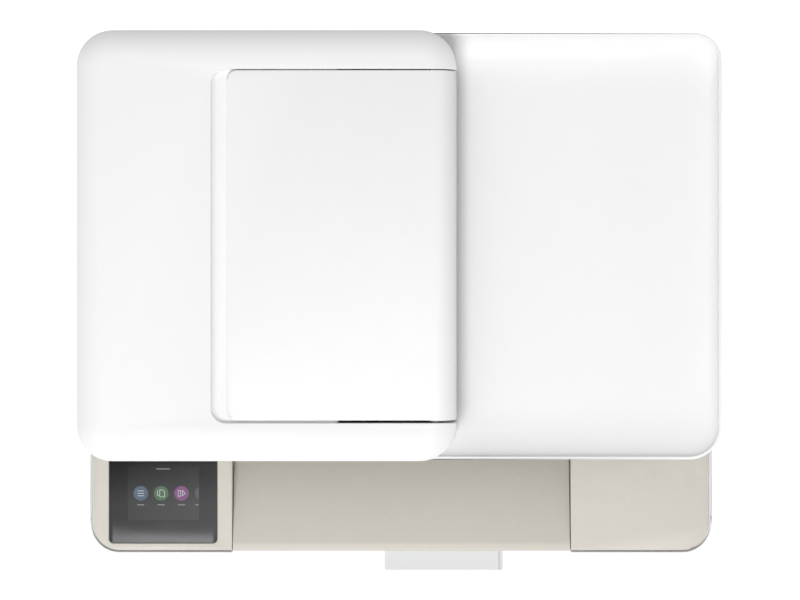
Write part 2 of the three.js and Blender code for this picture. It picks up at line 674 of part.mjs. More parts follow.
function scanner() {
  const corners = { ...BODY_CORNERS, frontLeft: 22, frontRight: 22 };
  const tub = cut(
    slab(BED, corners, BED_BOTTOM, BED_TOP),
    slab(BED, corners, BED_BOTTOM + WALL, BED_TOP + 5, WALL),
  );
  const barrels = [];
  for (const x of [-SCANNER_HINGE_X, SCANNER_HINGE_X]) {
    barrels.push(
      rodX(SCANNER_HINGE, 2.6, x - 8.4, x + 8.4, 16),
      rodX(SCANNER_HINGE, 1.1, x - 13.5, x + 13.5, SMALL_SIDES),
      block(x - 8.4, x + 8.4, 173.2, 175.8, SCANNER_HINGE.z, BED_BOTTOM + 1),
    );
  }
  add("scanner_bed", join(tub, ...barrels), FINISH.white);
  const postGap = (x) => block(x - 8.5, x + 8.5, 165, 190, 140, 160);
  const frame = cut(
    slab(BED, corners, BED_TOP + 0.3, FRAME_TOP),
    block(-128, 176, -67.5, 152.5, 140, 160),
    block(-170, -150, -67, 152, 140, 160),
    postGap(-130),
    postGap(130),
  );
  add("scanner_frame", frame, FINISH.white);
  add("flatbed_glass", block(-134, 182, -73, 158, 143.4, BED_TOP), FINISH.clear);
  add("feeder_glass", block(-174, -146, -72, 157, 143.4, BED_TOP), FINISH.clear);
  const bar = cut(
    block(-168, -152, -72, 157, 135, 142.8),
    block(-170, -150, 38.8, 45.2, 130, 138.8),
  );
  add("scan_bar", bar, FINISH.inner);
  add("scan_rail", rodX({ y: 42, z: 135.6 }, 2.4, -208, 208, SMALL_SIDES), FINISH.steel);
}

// ---------------------------------------------------------------- lid

function lid() {
  const feederGap = slab(FEEDER, FEEDER_CORNERS, LID_SEAM, TOP, -0.6);
  const low = slab(LID, LID_CORNERS, LID_BOTTOM, LID_SEAM);
  const high = cut(slab(LID, LID_CORNERS, LID_SEAM - 1, LID_RIM), feederGap);
  const underside = slab(LID, LID_CORNERS, 140, 157, 3);
  const feederFloor = { ...LID, right: 36 };
  const floorCorners = { ...LID_CORNERS, frontRight: 24, backRight: 24 };
  const deckWell = slab(feederFloor, floorCorners, LID_DECK, 200, 3);
  // The output dish falls from its front and back rims in long hollow curves, from the right in a short one.
  const dishCorners = { ...even(4), frontRight: 20, backRight: 16 };
  const depth = LID_RIM - DISH_FLOOR;
  const dishRing = (share, z) => {
    const long = DISH.rim + DISH.blend * share;
    const box = {
      left: DISH.left,
      right: LID.right - DISH.rim - DISH.sideBlend * share,
      front: LID.front + long,
      back: LID.back - long,
    };
    return { points: outline(box, dishCorners), z };
  };
  const rings = [];
  for (let i = 0; i <= DISH.steps; i++) {
    const angle = ((i / DISH.steps) * Math.PI) / 2;
    rings.push(dishRing(1 - Math.sin(angle), LID_RIM - depth * Math.cos(angle)));
  }
  rings.push(dishRing(0, LID_RIM + 5));
  const ears = [];
  for (const x of [-LID_HINGE_X, LID_HINGE_X]) {
    for (const side of [-1, 1]) {
      const inner = x + side * 7.3;
      const outer = x + side * 11;
      const edges = [Math.min(inner, outer), Math.max(inner, outer)];
      ears.push(block(...edges, 171.5, 184, 151, 158));
    }
  }
  const pinHoles = [rodX(LID_HINGE, 2.3, -150, 150, SMALL_SIDES)];
  for (const y of HOUSING_HINGE_Y) {
    const { x, z } = HOUSING_HINGE;
    ears.push(rodY(x, z, 1.6, y - 9.5, y + 9.5, 16), block(x - 1.6, x + 1.6, y - 9.5, y + 9.5, 160, z));
    pinHoles.push(rodY(x, z, 1.2, y - 12, y + 12, SMALL_SIDES));
  }
  const shell = cut(
    join(cut(join(low, high), underside, deckWell, loft(rings)), ...ears),
    block(-173, -145.5, -66, 151, 140, 180),
    ...pinHoles,
  );
  add("lid_shell", shell, FINISH.white);
  add("document_mat", block(-125, 173, -64.5, 149.5, 146.4, 156.6), FINISH.white);

  for (const [side, x] of [["left", -LID_HINGE_X], ["right", LID_HINGE_X]]) {
    const neck = [[166, 133], [172.6, 133], [172.6, 146.5], [177.5, 149.5], [175, 153.5], [166, 147.5]];
    const post = join(
      alongX(neck, x - 6, x + 6),
      rodX(LID_HINGE, 3.2, x - 6, x + 6, 16),
      rodX(LID_HINGE, 1.9, x - 11, x + 11, SMALL_SIDES),
    );
    add(`lid_hinge_${side}`, post, FINISH.inner);
  }
}

// ---------------------------------------------------------------- document feeder

function feederInside() {
  const plates = join(block(-168, 30, -84, -80, 159.4, 186), block(-168, 30, 165, 169, 159.4, 186));
  const sheet = alongY([[-130, 168], [30, 167], [30, 170.4], [-130, 170.5]], -82, 167);
  const nose = [[28, 167], [34, 166.6], [36.5, 168], [36.5, 169.6], [34, 170.4], [28, 170.4]];
  const holes = join(rodY(-150, 174, 4.4, -90, 175), rodY(-20, EXIT_Z, 2.3, -90, 175, SMALL_SIDES));
  const guide = join(plates, sheet, alongY(nose, -74.5, 159.4));
  add("feeder_guide", cut(guide, holes), FINISH.inner);
  const roller = join(rodY(-150, 174, 12, -66, 151), rodY(-150, 174, 4, -84, 169, SMALL_SIDES));
  add("feeder_roller", roller, FINISH.rubber);
  const exit = [rodY(-20, EXIT_Z, 1.9, -84, 169, SMALL_SIDES)];
  for (const y of [-40, 0, 85, 125]) {
    exit.push(rodY(-20, EXIT_Z, 3.6, y - 8, y + 8, 16));
  }
  add("feeder_exit_roller", join(...exit), FINISH.rubber);
}

function feederHousing() {
  const outer = feederDome(FEEDER_BOTTOM, TOP);
  const inner = feederDome(FEEDER_BOTTOM - 5, TOP - WALL, WALL);
  const floorBox = { left: -128.5, right: THROAT_LEFT, front: -78, back: 162.7 };
  const floor = slab(floorBox, { ...even(0.5), frontLeft: 12.5, backLeft: 12.5 }, 193.5, TOP - 1);
  const walls = join(
    block(THROAT_LEFT - 3, 60, -78, RECESS.front, 172, TOP),
    block(THROAT_LEFT - 3, 60, RECESS.back, 162.7, 172, TOP),
    block(THROAT_LEFT - 2.5, THROAT_LEFT, -78, 162.7, 186, TOP - 2),
    block(-79, -71, 20, 21.6, 177, 194),
    block(-79, -71, 63.4, 65, 177, 194),
  );
  const recessCorners = { ...even(0.5), frontLeft: 10, backLeft: 10 };
  const recess = slab(RECESS, recessCorners, RECESS_FLOOR, TOP + 5);
  const throat = block(THROAT_LEFT, 60, RECESS.front, RECESS.back, 150, TOP + 5);
  const hinge = rodY(TRAY_HINGE.x, TRAY_HINGE.z, 3.1, -79, 164, SMALL_SIDES);
  const pickHole = rodY(-75, 181.6, 2.4, 15, 70, SMALL_SIDES);
  const added = join(floor, walls).intersect(outer);
  const notches = [];
  const pins = [];
  for (const y of HOUSING_HINGE_Y) {
    const { x, z } = HOUSING_HINGE;
    notches.push(rodY(x, z, 2.2, y - 10, y + 10), block(x - 3, x + 2.4, y - 10, y + 10, 150, z));
    pins.push(rodY(x, z, 0.9, y - 11.5, y + 11.5, 8));
  }
  const shell = cut(join(cut(outer, inner), added), recess, throat, hinge, pickHole, ...notches);
  const housing = join(shell, ...pins);
  add("feeder_housing", housing, FINISH.white);
  const pick = join(rodY(-75, 181.6, 9.8, 22, 63), rodY(-75, 181.6, 2, 20, 65, SMALL_SIDES));
  add("feeder_pick_roller", pick, FINISH.rubber);
}

// The input tray: a plate that rolls down over the housing's right end, about its own hinge.
function inputTray() {
  const arc = (radius, from, to, steps) => {
    const points = [];
    for (let i = 0; i <= steps; i++) {
      const angle = THREE.MathUtils.degToRad(from + ((to - from) * i) / steps);
      points.push([
        TRAY_HINGE.x + radius * Math.cos(angle),
        TRAY_HINGE.z + radius * Math.sin(angle),
      ]);
    }
    return points;
  };
  const inside = TRAY_ROLL - TRAY_THICK;
  const section = [
    [TRAY_PLATE.left, TOP - TRAY_THICK],
    ...arc(inside, 90, -25, 8),
    ...arc(TRAY_ROLL, -25, 90, 8),
    [TRAY_PLATE.left, TOP],
  ];
  const plate = alongY(section, TRAY_PLATE.front, TRAY_PLATE.back);
  const corners = { ...even(0.5), frontLeft: 7, backLeft: 7 };
  const trimmed = plate.intersect(slab(TRAY_PLATE, corners, 150, 220));
  const { x, z } = TRAY_HINGE;
  const tray = join(
    trimmed,
    rodY(x, z, inside + 0.6, TRAY_PLATE.front + 0.01, TRAY_PLATE.front + 3),
    rodY(x, z, inside + 0.6, TRAY_PLATE.back - 3, TRAY_PLATE.back - 0.01),
    rodY(x, z, 2.6, TRAY_PLATE.front - 3.8, TRAY_PLATE.front + 1, SMALL_SIDES),
    rodY(x, z, 2.6, TRAY_PLATE.back - 1, TRAY_PLATE.back + 3.8, SMALL_SIDES),
  );
  add("input_tray", tray, FINISH.white);
  const plateUnder = TOP - TRAY_THICK - GAP;
  const fence = (y0, footFront, footBack) =>
    join(
      block(-36, 4, y0, y0 + 2, plateUnder - 8, plateUnder),
      block(-28, -6, footFront, footBack, plateUnder - 1.6, plateUnder),
    );
  add("document_guide_front", fence(-68, -68, -48), FINISH.inner);
  add("document_guide_rear", fence(151, 133, 153), FINISH.inner);
}

baseOutside();
front();
paperPath();
carriageDrive();
carriage();
modules();
paperTray();
scanner();
lid();
feederInside();
feederHousing();
inputTray();

export default printer;
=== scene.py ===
"""Looks of an inkjet printer with a document feeder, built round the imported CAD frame.

Lengths in this script are millimetres until a mesh is made. X runs right, -Y is the front, Z is up.
"""

import math

import bmesh
import bpy
from mathutils import Matrix, Vector


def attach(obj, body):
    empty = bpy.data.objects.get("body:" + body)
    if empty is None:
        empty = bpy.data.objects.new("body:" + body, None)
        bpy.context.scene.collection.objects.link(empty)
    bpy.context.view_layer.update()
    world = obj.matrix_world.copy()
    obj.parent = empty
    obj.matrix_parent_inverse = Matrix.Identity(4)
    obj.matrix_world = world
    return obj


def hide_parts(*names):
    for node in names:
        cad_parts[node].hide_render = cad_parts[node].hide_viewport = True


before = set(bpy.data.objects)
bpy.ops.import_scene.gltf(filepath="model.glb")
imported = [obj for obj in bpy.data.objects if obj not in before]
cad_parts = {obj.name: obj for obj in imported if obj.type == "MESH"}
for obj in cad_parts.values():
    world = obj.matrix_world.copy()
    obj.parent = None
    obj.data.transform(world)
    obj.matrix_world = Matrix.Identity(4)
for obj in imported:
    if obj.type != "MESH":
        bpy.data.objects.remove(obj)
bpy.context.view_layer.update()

MM = 0.001

# Camera: straight above the printer, a little right of its middle.
CAMERA_HEIGHT = 2300
CAMERA_X = 22
CAMERA_Y = 6.5
CAMERA_LENS = 142.2
SENSOR_WIDTH = 36

# How finely curved pieces are divided.
CORNER_STEPS = 14
EDGE_STEPS = 12
ROD_SIDES = 48

# The printer's own levels and outlines. An outline is (left, right, front, back).
WALL = 2.5
LID = (-217, 217, -101, 186.5)
LID_CORNERS = (24, 22, 18, 24)  # front left, front right, back right, back left
FEEDER = (-217, 38, -101, 186.5)
FEEDER_CORNERS = (24, 25, 25, 24)
BODY = (-216.6, 216.6, -170.1, 176)
BODY_CORNERS = (20.6, 20.6, 15, 15)
COVER_THICK = 3
RIM = 1.3
SEAM_Y = -143.5
BED = (-211, 211, -97, 176)
BED_CORNERS = (22, 22, 15, 15)
PAN_TOP = 8.4
COVER_TOP = 128
BED_BOTTOM = 130
BED_TOP = 146
FRAME_TOP = 149.3
LID_BOTTOM = 150.3
LID_DECK = 159
LID_SEAM = 162.4
LID_RIM = 170
DISH_FLOOR = 161
FEEDER_BOTTOM = 164
FEEDER_EDGE = 18
FEEDER_EDGE_ANGLE = math.radians(45)
FEEDER_EDGE_FALL = 7.5
FEEDER_DRAFT = 1.4
FEEDER_DRAFT_TOP = 188
TOP = 200
THROAT_LEFT = -41
RECESS = (-125.4, 60, -75.4, 160.2)
RECESS_DEPTH = 3.6
TRAY_HINGE = (24, 186)
TRAY_ROLL = 14
TRAY_PLATE = (-114.8, 60, -73.6, 159.3)
TRAY_THICK = 3.2
FRONT_FACE = -168.4
SHOULDER_TOP = 100
SHOULDER_BACK = -62
SHOULDER_GAP = 1.2
BAY_LEFT = -117.6
BAY_RIGHT = 118.1
FRONT_COVER_LIP = -163
FRONT_COVER_BACK = -92.4
FRONT_COVER_DROP = 21.5
FRONT_COVER_DEPTH = 28
FRONT_COVER_HINGE = (-95, 78)
SCANNER_HINGE = (174.5, 126.6)
SCANNER_HINGE_X = 160
LID_HINGE = (177.5, 152)
LID_HINGE_X = 130
HOUSING_HINGE = (-215.4, 164.2)
HOUSING_HINGE_Y = (-45, 130)
DECK_HINGE = (-36, 55.2)


# ---------------------------------------------------------------- camera


def place_camera():
    data = bpy.data.cameras.new("camera")
    data.lens = CAMERA_LENS
    data.sensor_width = SENSOR_WIDTH
    data.shift_x = -CAMERA_X / (CAMERA_HEIGHT - LID_RIM) * CAMERA_LENS / SENSOR_WIDTH
    data.clip_end = 20
    camera = bpy.data.objects.new("camera", data)
    camera.location = (CAMERA_X * MM, CAMERA_Y * MM, CAMERA_HEIGHT * MM)
    bpy.context.collection.objects.link(camera)
    bpy.context.scene.camera = camera


# ---------------------------------------------------------------- solids


def solid(name, points, faces):
    """A new mesh object from points in millimetres."""
    mesh = bpy.data.meshes.new(name)
    mesh.from_pydata([Vector(p) * MM for p in points], [], faces)
    bm = bmesh.new()
    bm.from_mesh(mesh)
    bmesh.ops.remove_doubles(bm, verts=bm.verts, dist=1e-7)
    bmesh.ops.recalc_face_normals(bm, faces=bm.faces)
    bm.to_mesh(mesh)
    bm.free()
    piece = bpy.data.objects.new(name, mesh)
    bpy.context.collection.objects.link(piece)
    return piece


def outline(box, corners, inset=0.0, steps=CORNER_STEPS):
    """A rounded rectangle's points, anticlockwise seen from above."""
    left, right, front, back = box
    front_left, front_right, back_right, back_left = corners
    spots = (
        (right - inset, back - inset, back_right, 0),
        (left + inset, back - inset, back_left, 1),
        (left + inset, front + inset, front_left, 2),
        (right - inset, front + inset, front_right, 3),
    )
    points = []
    for x, y, corner, quarter in spots:
        radius = max(corner - inset, 0.02)
        across = -1 if quarter in (0, 3) else 1
        along = -1 if quarter < 2 else 1
        if corner < 1:
            points.append((x, y))
            continue
        for i in range(steps + 1):
            angle = (quarter + i / steps) * math.pi / 2
            points.append(
                (
                    x + across * radius + radius * math.cos(angle),
                    y + along * radius + radius * math.sin(angle),
                )
            )
    return points


def loft(rings, name="loft"):
    """Joins rings with equal counts of points, from the lowest to the highest, and caps both ends."""
    count = len(rings[0])
    points = [p for ring in rings for p in ring]
    faces = [tuple(reversed(range(count)))]
    for r in range(len(rings) - 1):
        for i in range(count):
            j = (i + 1) % count
            faces.append((r * count + i, r * count + j, (r + 1) * count + j, (r + 1) * count + i))
    last = (len(rings) - 1) * count
    faces.append(tuple(last + i for i in range(count)))
    return solid(name, points, faces)


def slab(box, corners, z0, z1, inset=0.0, steps=CORNER_STEPS):
    flat = outline(box, corners, inset, steps)
    return loft([[(x, y, z) for x, y in flat] for z in (z0, z1)], "slab")


def domed(box, corners, z0, z1, edge, inset=0.0):
    """Straight walls with a rounded top edge."""
    rings = [[(x, y, z0) for x, y in outline(box, corners, inset)]]
    for i in range(EDGE_STEPS + 1):
        angle = i / EDGE_STEPS * math.pi / 2
        flat = outline(box, corners, inset + edge * (1 - math.cos(angle)))
        z = z1 - edge * (1 - math.sin(angle))
        rings.append([(x, y, z) for x, y in flat])
    return loft(rings, "domed")


def along_x(profile, x0, x1):
    return loft([[(x, y, z) for y, z in profile] for x in (x0, x1)], "along_x")


def along_y(profile, y0, y1):
    return loft([[(x, y, z) for x, z in profile] for y in (y0, y1)], "along_y")


def block(x0, x1, y0, y1, z0, z1):
    return along_x([(y0, z0), (y1, z0), (y1, z1), (y0, z1)], x0, x1)


def ring_points(radius, sides):
    angles = [2 * math.pi * i / sides for i in range(sides)]
    return [(radius * math.cos(a), radius * math.sin(a)) for a in angles]


def rod_x(axis, radius, x0, x1, sides=ROD_SIDES):
    return along_x([(axis[0] + a, axis[1] + b) for a, b in ring_points(radius, sides)], x0, x1)


def rod_y(axis, radius, y0, y1, sides=ROD_SIDES):
    return along_y([(axis[0] + a, axis[1] + b) for a, b in ring_points(radius, sides)], y0, y1)


def rod_z(x, y, radius, z0, z1, sides=ROD_SIDES):
    flat = [(x + a, y + b) for a, b in ring_points(radius, sides)]
    return loft([[(px, py, z) for px, py in flat] for z in (z0, z1)], "rod_z")


def apply_modifiers(piece):
    """Turns a piece's modifiers into its mesh."""
    graph = bpy.context.evaluated_depsgraph_get()
    mesh = bpy.data.meshes.new_from_object(piece.evaluated_get(graph))
    old = piece.data
    piece.modifiers.clear()
    piece.data = mesh
    bpy.data.meshes.remove(old)
    return piece


def combine(operation, whole, tools):
    for tool in tools:
        modifier = whole.modifiers.new(operation.lower(), "BOOLEAN")
        modifier.operation = operation
        modifier.solver = "EXACT"
        modifier.object = tool
    apply_modifiers(whole)
    for tool in tools:
        bpy.data.objects.remove(tool)
    return whole


def join(whole, *others):
    return combine("UNION", whole, others)


def cut(whole, *tools):
    return combine("DIFFERENCE", whole, tools)


def common(whole, *others):
    return combine("INTERSECT", whole, others)


def soften(piece, radius, segments=3, angle=38, split=True):
    """Rounds sharp edges. Many-sided faces are split first, unless that would leave spikes."""
    if split:
        faces = piece.modifiers.new("split", "TRIANGULATE")
        faces.min_vertices = 5
        faces.ngon_method = "BEAUTY"
    bevel = piece.modifiers.new("soften", "BEVEL")
    bevel.width = radius * MM
    bevel.segments = segments
    bevel.limit_method = "ANGLE"
    bevel.angle_limit = math.radians(angle)
    bevel.use_clamp_overlap = False
    bevel.miter_outer = "MITER_ARC"
    return apply_modifiers(piece)


def fit(piece, name, body, material, replaced=(), smooth=32):
    """Names and shades a finished piece, and fixes it to its body."""
    piece.name = name
    piece.data.name = name
    piece.data.materials.clear()
    piece.data.materials.append(material)
    piece.data.shade_smooth()
    piece.data.set_sharp_from_angle(angle=math.radians(smooth))
    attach(piece, body)
    if replaced:
        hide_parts(*replaced)
    return piece


# ---------------------------------------------------------------- shader groups


def new_group(name, inputs, outputs):
    tree = bpy.data.node_groups.new(name, "ShaderNodeTree")
    for label, kind, default in inputs:
        socket = tree.interface.new_socket(label, in_out="INPUT", socket_type=kind)
        socket.default_value = default
    for label, kind in outputs:
        tree.interface.new_socket(label, in_out="OUTPUT", socket_type=kind)
    return tree, tree.nodes.new("NodeGroupInput"), tree.nodes.new("NodeGroupOutput")


def noise_node(tree, coordinates, scale, detail=3.0, roughness=0.5):
    node = tree.nodes.new("ShaderNodeTexNoise")
    node.inputs["Scale"].default_value = scale
    node.inputs["Detail"].default_value = detail
    node.inputs["Roughness"].default_value = roughness
    tree.links.new(coordinates, node.inputs["Vector"])
    return node.outputs["Fac"]


def math_node(tree, operation, first, second):
    node = tree.nodes.new("ShaderNodeMath")
    node.operation = operation
    for socket, value in zip(node.inputs, (first, second)):
        if isinstance(value, (int, float)):
            socket.default_value = value
        else:
            tree.links.new(value, socket)
    return node.outputs[0]


def map_range(tree, value, low, high, to_low=0.0, to_high=1.0):
    node = tree.nodes.new("ShaderNodeMapRange")
    tree.links.new(value, node.inputs["Value"])
    for label, number in (("From Min", low), ("From Max", high), ("To Min", to_low), ("To Max", to_high)):
        node.inputs[label].default_value = number
    return node.outputs["Result"]


def moulded_grain_group():
    """Spark-eroded texture of a plastic moulding, with slow unevenness in colour and gloss."""
    tree, given, made = new_group(
        "Moulded grain",
        [("Grain size", "NodeSocketFloat", 1500.0)],
        [("Height", "NodeSocketFloat"), ("Mottle", "NodeSocketFloat"), ("Gloss", "NodeSocketFloat")],
    )
    place = tree.nodes.new("ShaderNodeTexCoord").outputs["Object"]
    fine = noise_node(tree, place, 1500.0, 2.0, 0.6)
    tree.links.new(given.outputs["Grain size"], fine.node.inputs["Scale"])
    slow = noise_node(tree, place, 9.0, 2.0)
    flecks = noise_node(tree, place, 420.0, 1.0)
    slow_half = math_node(tree, "MULTIPLY", slow, 0.5)
    fleck_half = math_node(tree, "MULTIPLY", flecks, 0.5)
    mottle = math_node(tree, "ADD", slow_half, fleck_half)
    tree.links.new(fine, made.inputs["Height"])
    tree.links.new(map_range(tree, mottle, 0.3, 0.7), made.inputs["Mottle"])
    tree.links.new(map_range(tree, noise_node(tree, place, 38.0, 4.0), 0.3, 0.7), made.inputs["Gloss"])
    return tree


def edge_wear_group():
    """Where hands and use have polished the outer edges."""
    tree, given, made = new_group(
        "Edge wear", [("Amount", "NodeSocketFloat", 0.5)], [("Mask", "NodeSocketFloat")]
    )
    edge = map_range(tree, tree.nodes.new("ShaderNodeNewGeometry").outputs["Pointiness"], 0.515, 0.6)
    place = tree.nodes.new("ShaderNodeTexCoord").outputs["Object"]
    patches = map_range(tree, noise_node(tree, place, 60.0, 5.0, 0.65), 0.42, 0.6)
    mask = math_node(tree, "MULTIPLY", edge, patches)
    tree.links.new(math_node(tree, "MULTIPLY", mask, given.outputs["Amount"]), made.inputs["Mask"])
    return tree


def dust_group():
    """A thin uneven film of dust on what faces up."""
    tree, given, made = new_group(
        "Dust", [("Amount", "NodeSocketFloat", 0.3)], [("Mask", "NodeSocketFloat")]
    )
    coordinates = tree.nodes.new("ShaderNodeTexCoord")
    parts = tree.nodes.new("ShaderNodeSeparateXYZ")
    tree.links.new(coordinates.outputs["Normal"], parts.inputs[0])
    facing = map_range(tree, parts.outputs["Z"], 0.5, 1.0)
    film = map_range(tree, noise_node(tree, coordinates.outputs["Object"], 22.0, 6.0, 0.6), 0.45, 0.75)
    mask = math_node(tree, "MULTIPLY", facing, film)
    tree.links.new(math_node(tree, "MULTIPLY", mask, given.outputs["Amount"]), made.inputs["Mask"])
    return tree


def brushed_group():
    """Fine lines of drawn or rolled metal, along X."""
    tree, given, made = new_group(
        "Brushed lines",
        [("Across", "NodeSocketFloat", 900.0)],
        [("Height", "NodeSocketFloat"), ("Streak", "NodeSocketFloat")],
    )
    place = tree.nodes.new("ShaderNodeTexCoord").outputs["Object"]
    stretch = tree.nodes.new("ShaderNodeMapping")
    stretch.inputs["Scale"].default_value = (0.02, 1.0, 1.0)
    tree.links.new(place, stretch.inputs["Vector"])
    lines = noise_node(tree, stretch.outputs[0], 900.0, 3.0, 0.6)
    tree.links.new(given.outputs["Across"], lines.node.inputs["Scale"])
    tree.links.new(lines, made.inputs["Height"])
    streak = noise_node(tree, stretch.outputs[0], 120.0)
    tree.links.new(map_range(tree, streak, 0.3, 0.7), made.inputs["Streak"])
    return tree


GRAIN = moulded_grain_group()
WEAR = edge_wear_group()
DUST = dust_group()
BRUSHED = brushed_group()


# ---------------------------------------------------------------- materials


def use_group(tree, group, **values):
    node = tree.nodes.new("ShaderNodeGroup")
    node.node_tree = group
    for label, value in values.items():
        node.inputs[label.replace("_", " ")].default_value = value
    return node.outputs


def mix_colour(tree, mask, first, second):
    node = tree.nodes.new("ShaderNodeMix")
    node.data_type = "RGBA"
    tree.links.new(mask, node.inputs["Factor"])
    for socket, value in ((node.inputs[6], first), (node.inputs[7], second)):
        if isinstance(value, (tuple, list)):
            socket.default_value = (*value[:3], 1)
        else:
            tree.links.new(value, socket)
    return node.outputs[2]


def shade(colour, factor):
    return tuple(min(1.0, c * factor) for c in colour[:3])


def blank_material(name):
    material = bpy.data.materials.new(name)
    material.use_nodes = True
    return material, material.node_tree, material.node_tree.nodes["Principled BSDF"]


def bump(tree, shader, height, strength, distance):
    node = tree.nodes.new("ShaderNodeBump")
    node.inputs["Strength"].default_value = strength
    node.inputs["Distance"].default_value = distance * MM
    tree.links.new(height, node.inputs["Height"])
    tree.links.new(node.outputs["Normal"], shader.inputs["Normal"])


def moulded_plastic(
    name, colour, roughness, grain=1500.0, depth=0.03, wear=0.35, dust=0.02, coat=0.0, mottle=0.985
):
    """Injection-moulded plastic: eroded grain, slow unevenness, worn edges and a little dust."""
    material, tree, shader = blank_material(name)
    shader.inputs["Specular IOR Level"].default_value = 0.5
    shader.inputs["Coat Weight"].default_value = coat
    shader.inputs["Coat Roughness"].default_value = 0.08
    texture = use_group(tree, GRAIN, Grain_size=grain)
    worn = use_group(tree, WEAR, Amount=wear)["Mask"]
    dusty = use_group(tree, DUST, Amount=dust)["Mask"]
    base = mix_colour(tree, texture["Mottle"], shade(colour, mottle), colour)
    base = mix_colour(tree, worn, base, shade(colour, 1.12))
    base = mix_colour(tree, dusty, base, (0.62, 0.60, 0.57))
    tree.links.new(base, shader.inputs["Base Color"])
    rough = map_range(tree, texture["Gloss"], 0.0, 1.0, roughness - 0.05, roughness + 0.05)
    rough = math_node(tree, "SUBTRACT", rough, math_node(tree, "MULTIPLY", worn, 0.2))
    tree.links.new(rough, shader.inputs["Roughness"])
    bump(tree, shader, texture["Height"], 0.35, depth)
    return material


def rolled_metal(name, colour, roughness, across=900.0):
    material, tree, shader = blank_material(name)
    shader.inputs["Metallic"].default_value = 1.0
    lines = use_group(tree, BRUSHED, Across=across)
    worn = use_group(tree, WEAR, Amount=0.6)["Mask"]
    base = mix_colour(tree, lines["Streak"], shade(colour, 0.85), colour)
    base = mix_colour(tree, worn, base, shade(colour, 1.25))
    tree.links.new(base, shader.inputs["Base Color"])
    rough = map_range(tree, lines["Streak"], 0.0, 1.0, roughness - 0.06, roughness + 0.08)
    tree.links.new(rough, shader.inputs["Roughness"])
    bump(tree, shader, lines["Height"], 0.25, 0.02)
    return material


def soft_rubber(name, colour):
    """Ground rubber, with uneven mottle in colour and gloss and a little dust."""
    material, tree, shader = blank_material(name)
    texture = use_group(tree, GRAIN, Grain_size=2600.0)
    dusty = use_group(tree, DUST, Amount=0.35)["Mask"]
    base = mix_colour(tree, texture["Mottle"], shade(colour, 0.75), shade(colour, 1.2))
    base = mix_colour(tree, dusty, base, (0.5, 0.49, 0.47))
    tree.links.new(base, shader.inputs["Base Color"])
    rough = map_range(tree, texture["Gloss"], 0.0, 1.0, 0.72, 0.92)
    tree.links.new(rough, shader.inputs["Roughness"])
    bump(tree, shader, texture["Height"], 0.5, 0.06)
    return material


def float_glass(name, tint):
    """Clear glass with a faint film of handling marks."""
    material, tree, shader = blank_material(name)
    shader.inputs["Transmission Weight"].default_value = 1.0
    shader.inputs["IOR"].default_value = 1.5
    texture = use_group(tree, GRAIN, Grain_size=300.0)
    base = mix_colour(tree, texture["Mottle"], tint, shade(tint, 0.98))
    tree.links.new(base, shader.inputs["Base Color"])
    rough = map_range(tree, texture["Gloss"], 0.0, 1.0, 0.0, 0.05)
    tree.links.new(rough, shader.inputs["Roughness"])
    bump(tree, shader, texture["Mottle"], 0.02, 0.02)
    return material


def foam_sheet(name, colour):
    material, tree, shader = blank_material(name)
    texture = use_group(tree, GRAIN, Grain_size=700.0)
    base = mix_colour(tree, texture["Mottle"], shade(colour, 0.95), colour)
    tree.links.new(base, shader.inputs["Base Color"])
    rough = map_range(tree, texture["Gloss"], 0.0, 1.0, 0.85, 0.97)
    tree.links.new(rough, shader.inputs["Roughness"])
    shader.inputs["Sheen Weight"].default_value = 0.2
    bump(tree, shader, texture["Height"], 0.6, 0.15)
    return material


def circuit_board(name):
    """Green solder mask over copper tracks."""
    material, tree, shader = blank_material(name)
    coordinates = tree.nodes.new("ShaderNodeTexCoord").outputs["Object"]
    tracks = tree.nodes.new("ShaderNodeTexBrick")
    tracks.inputs["Scale"].default_value = 160.0
    tracks.inputs["Mortar Size"].default_value = 0.05
    turn = tree.nodes.new("ShaderNodeMapping")
    turn.inputs["Rotation"].default_value = (math.pi / 2, 0, 0)
    tree.links.new(coordinates, turn.inputs["Vector"])
    tree.links.new(turn.outputs[0], tracks.inputs["Vector"])
    texture = use_group(tree, GRAIN, Grain_size=900.0)
    base = mix_colour(tree, tracks.outputs["Fac"], (0.015, 0.12, 0.045), (0.05, 0.30, 0.12))
    base = mix_colour(tree, texture["Mottle"], base, (0.02, 0.16, 0.06))
    tree.links.new(base, shader.inputs["Base Color"])
    rough = map_range(tree, texture["Gloss"], 0.0, 1.0, 0.25, 0.45)
    tree.links.new(rough, shader.inputs["Roughness"])
    bump(tree, shader, tracks.outputs["Fac"], 0.3, 0.05)
    return material


def display_cover(name, near, reflection_grey):
    """Black cover glass with a painted reflection: its colour greys towards its front and right."""
    material, tree, shader = blank_material(name)
    coordinates = tree.nodes.new("ShaderNodeTexCoord")
    parts = tree.nodes.new("ShaderNodeSeparateXYZ")
    tree.links.new(coordinates.outputs["Object"], parts.inputs[0])
    # Painted reflection: the colour blends from the black towards the grey at the front and right.
    across = map_range(tree, parts.outputs["X"], -0.202, -0.127, 0.0, 0.4)
    along = map_range(tree, parts.outputs["Y"], -0.136, -0.104, 0.6, 0.0)
    painted_reflection = math_node(tree, "ADD", across, along)
    texture = use_group(tree, GRAIN, Grain_size=1200.0)
    base = mix_colour(tree, painted_reflection, near, reflection_grey)
    unevenness = math_node(tree, "MULTIPLY", texture["Mottle"], 0.06)
    tree.links.new(mix_colour(tree, unevenness, base, shade(reflection_grey, 1.2)), shader.inputs["Base Color"])
    shader.inputs["Specular IOR Level"].default_value = 0.12
    rough = map_range(tree, texture["Gloss"], 0.0, 1.0, 0.1, 0.16)
    tree.links.new(rough, shader.inputs["Roughness"])
    bump(tree, shader, texture["Mottle"], 0.02, 0.02)
    return material


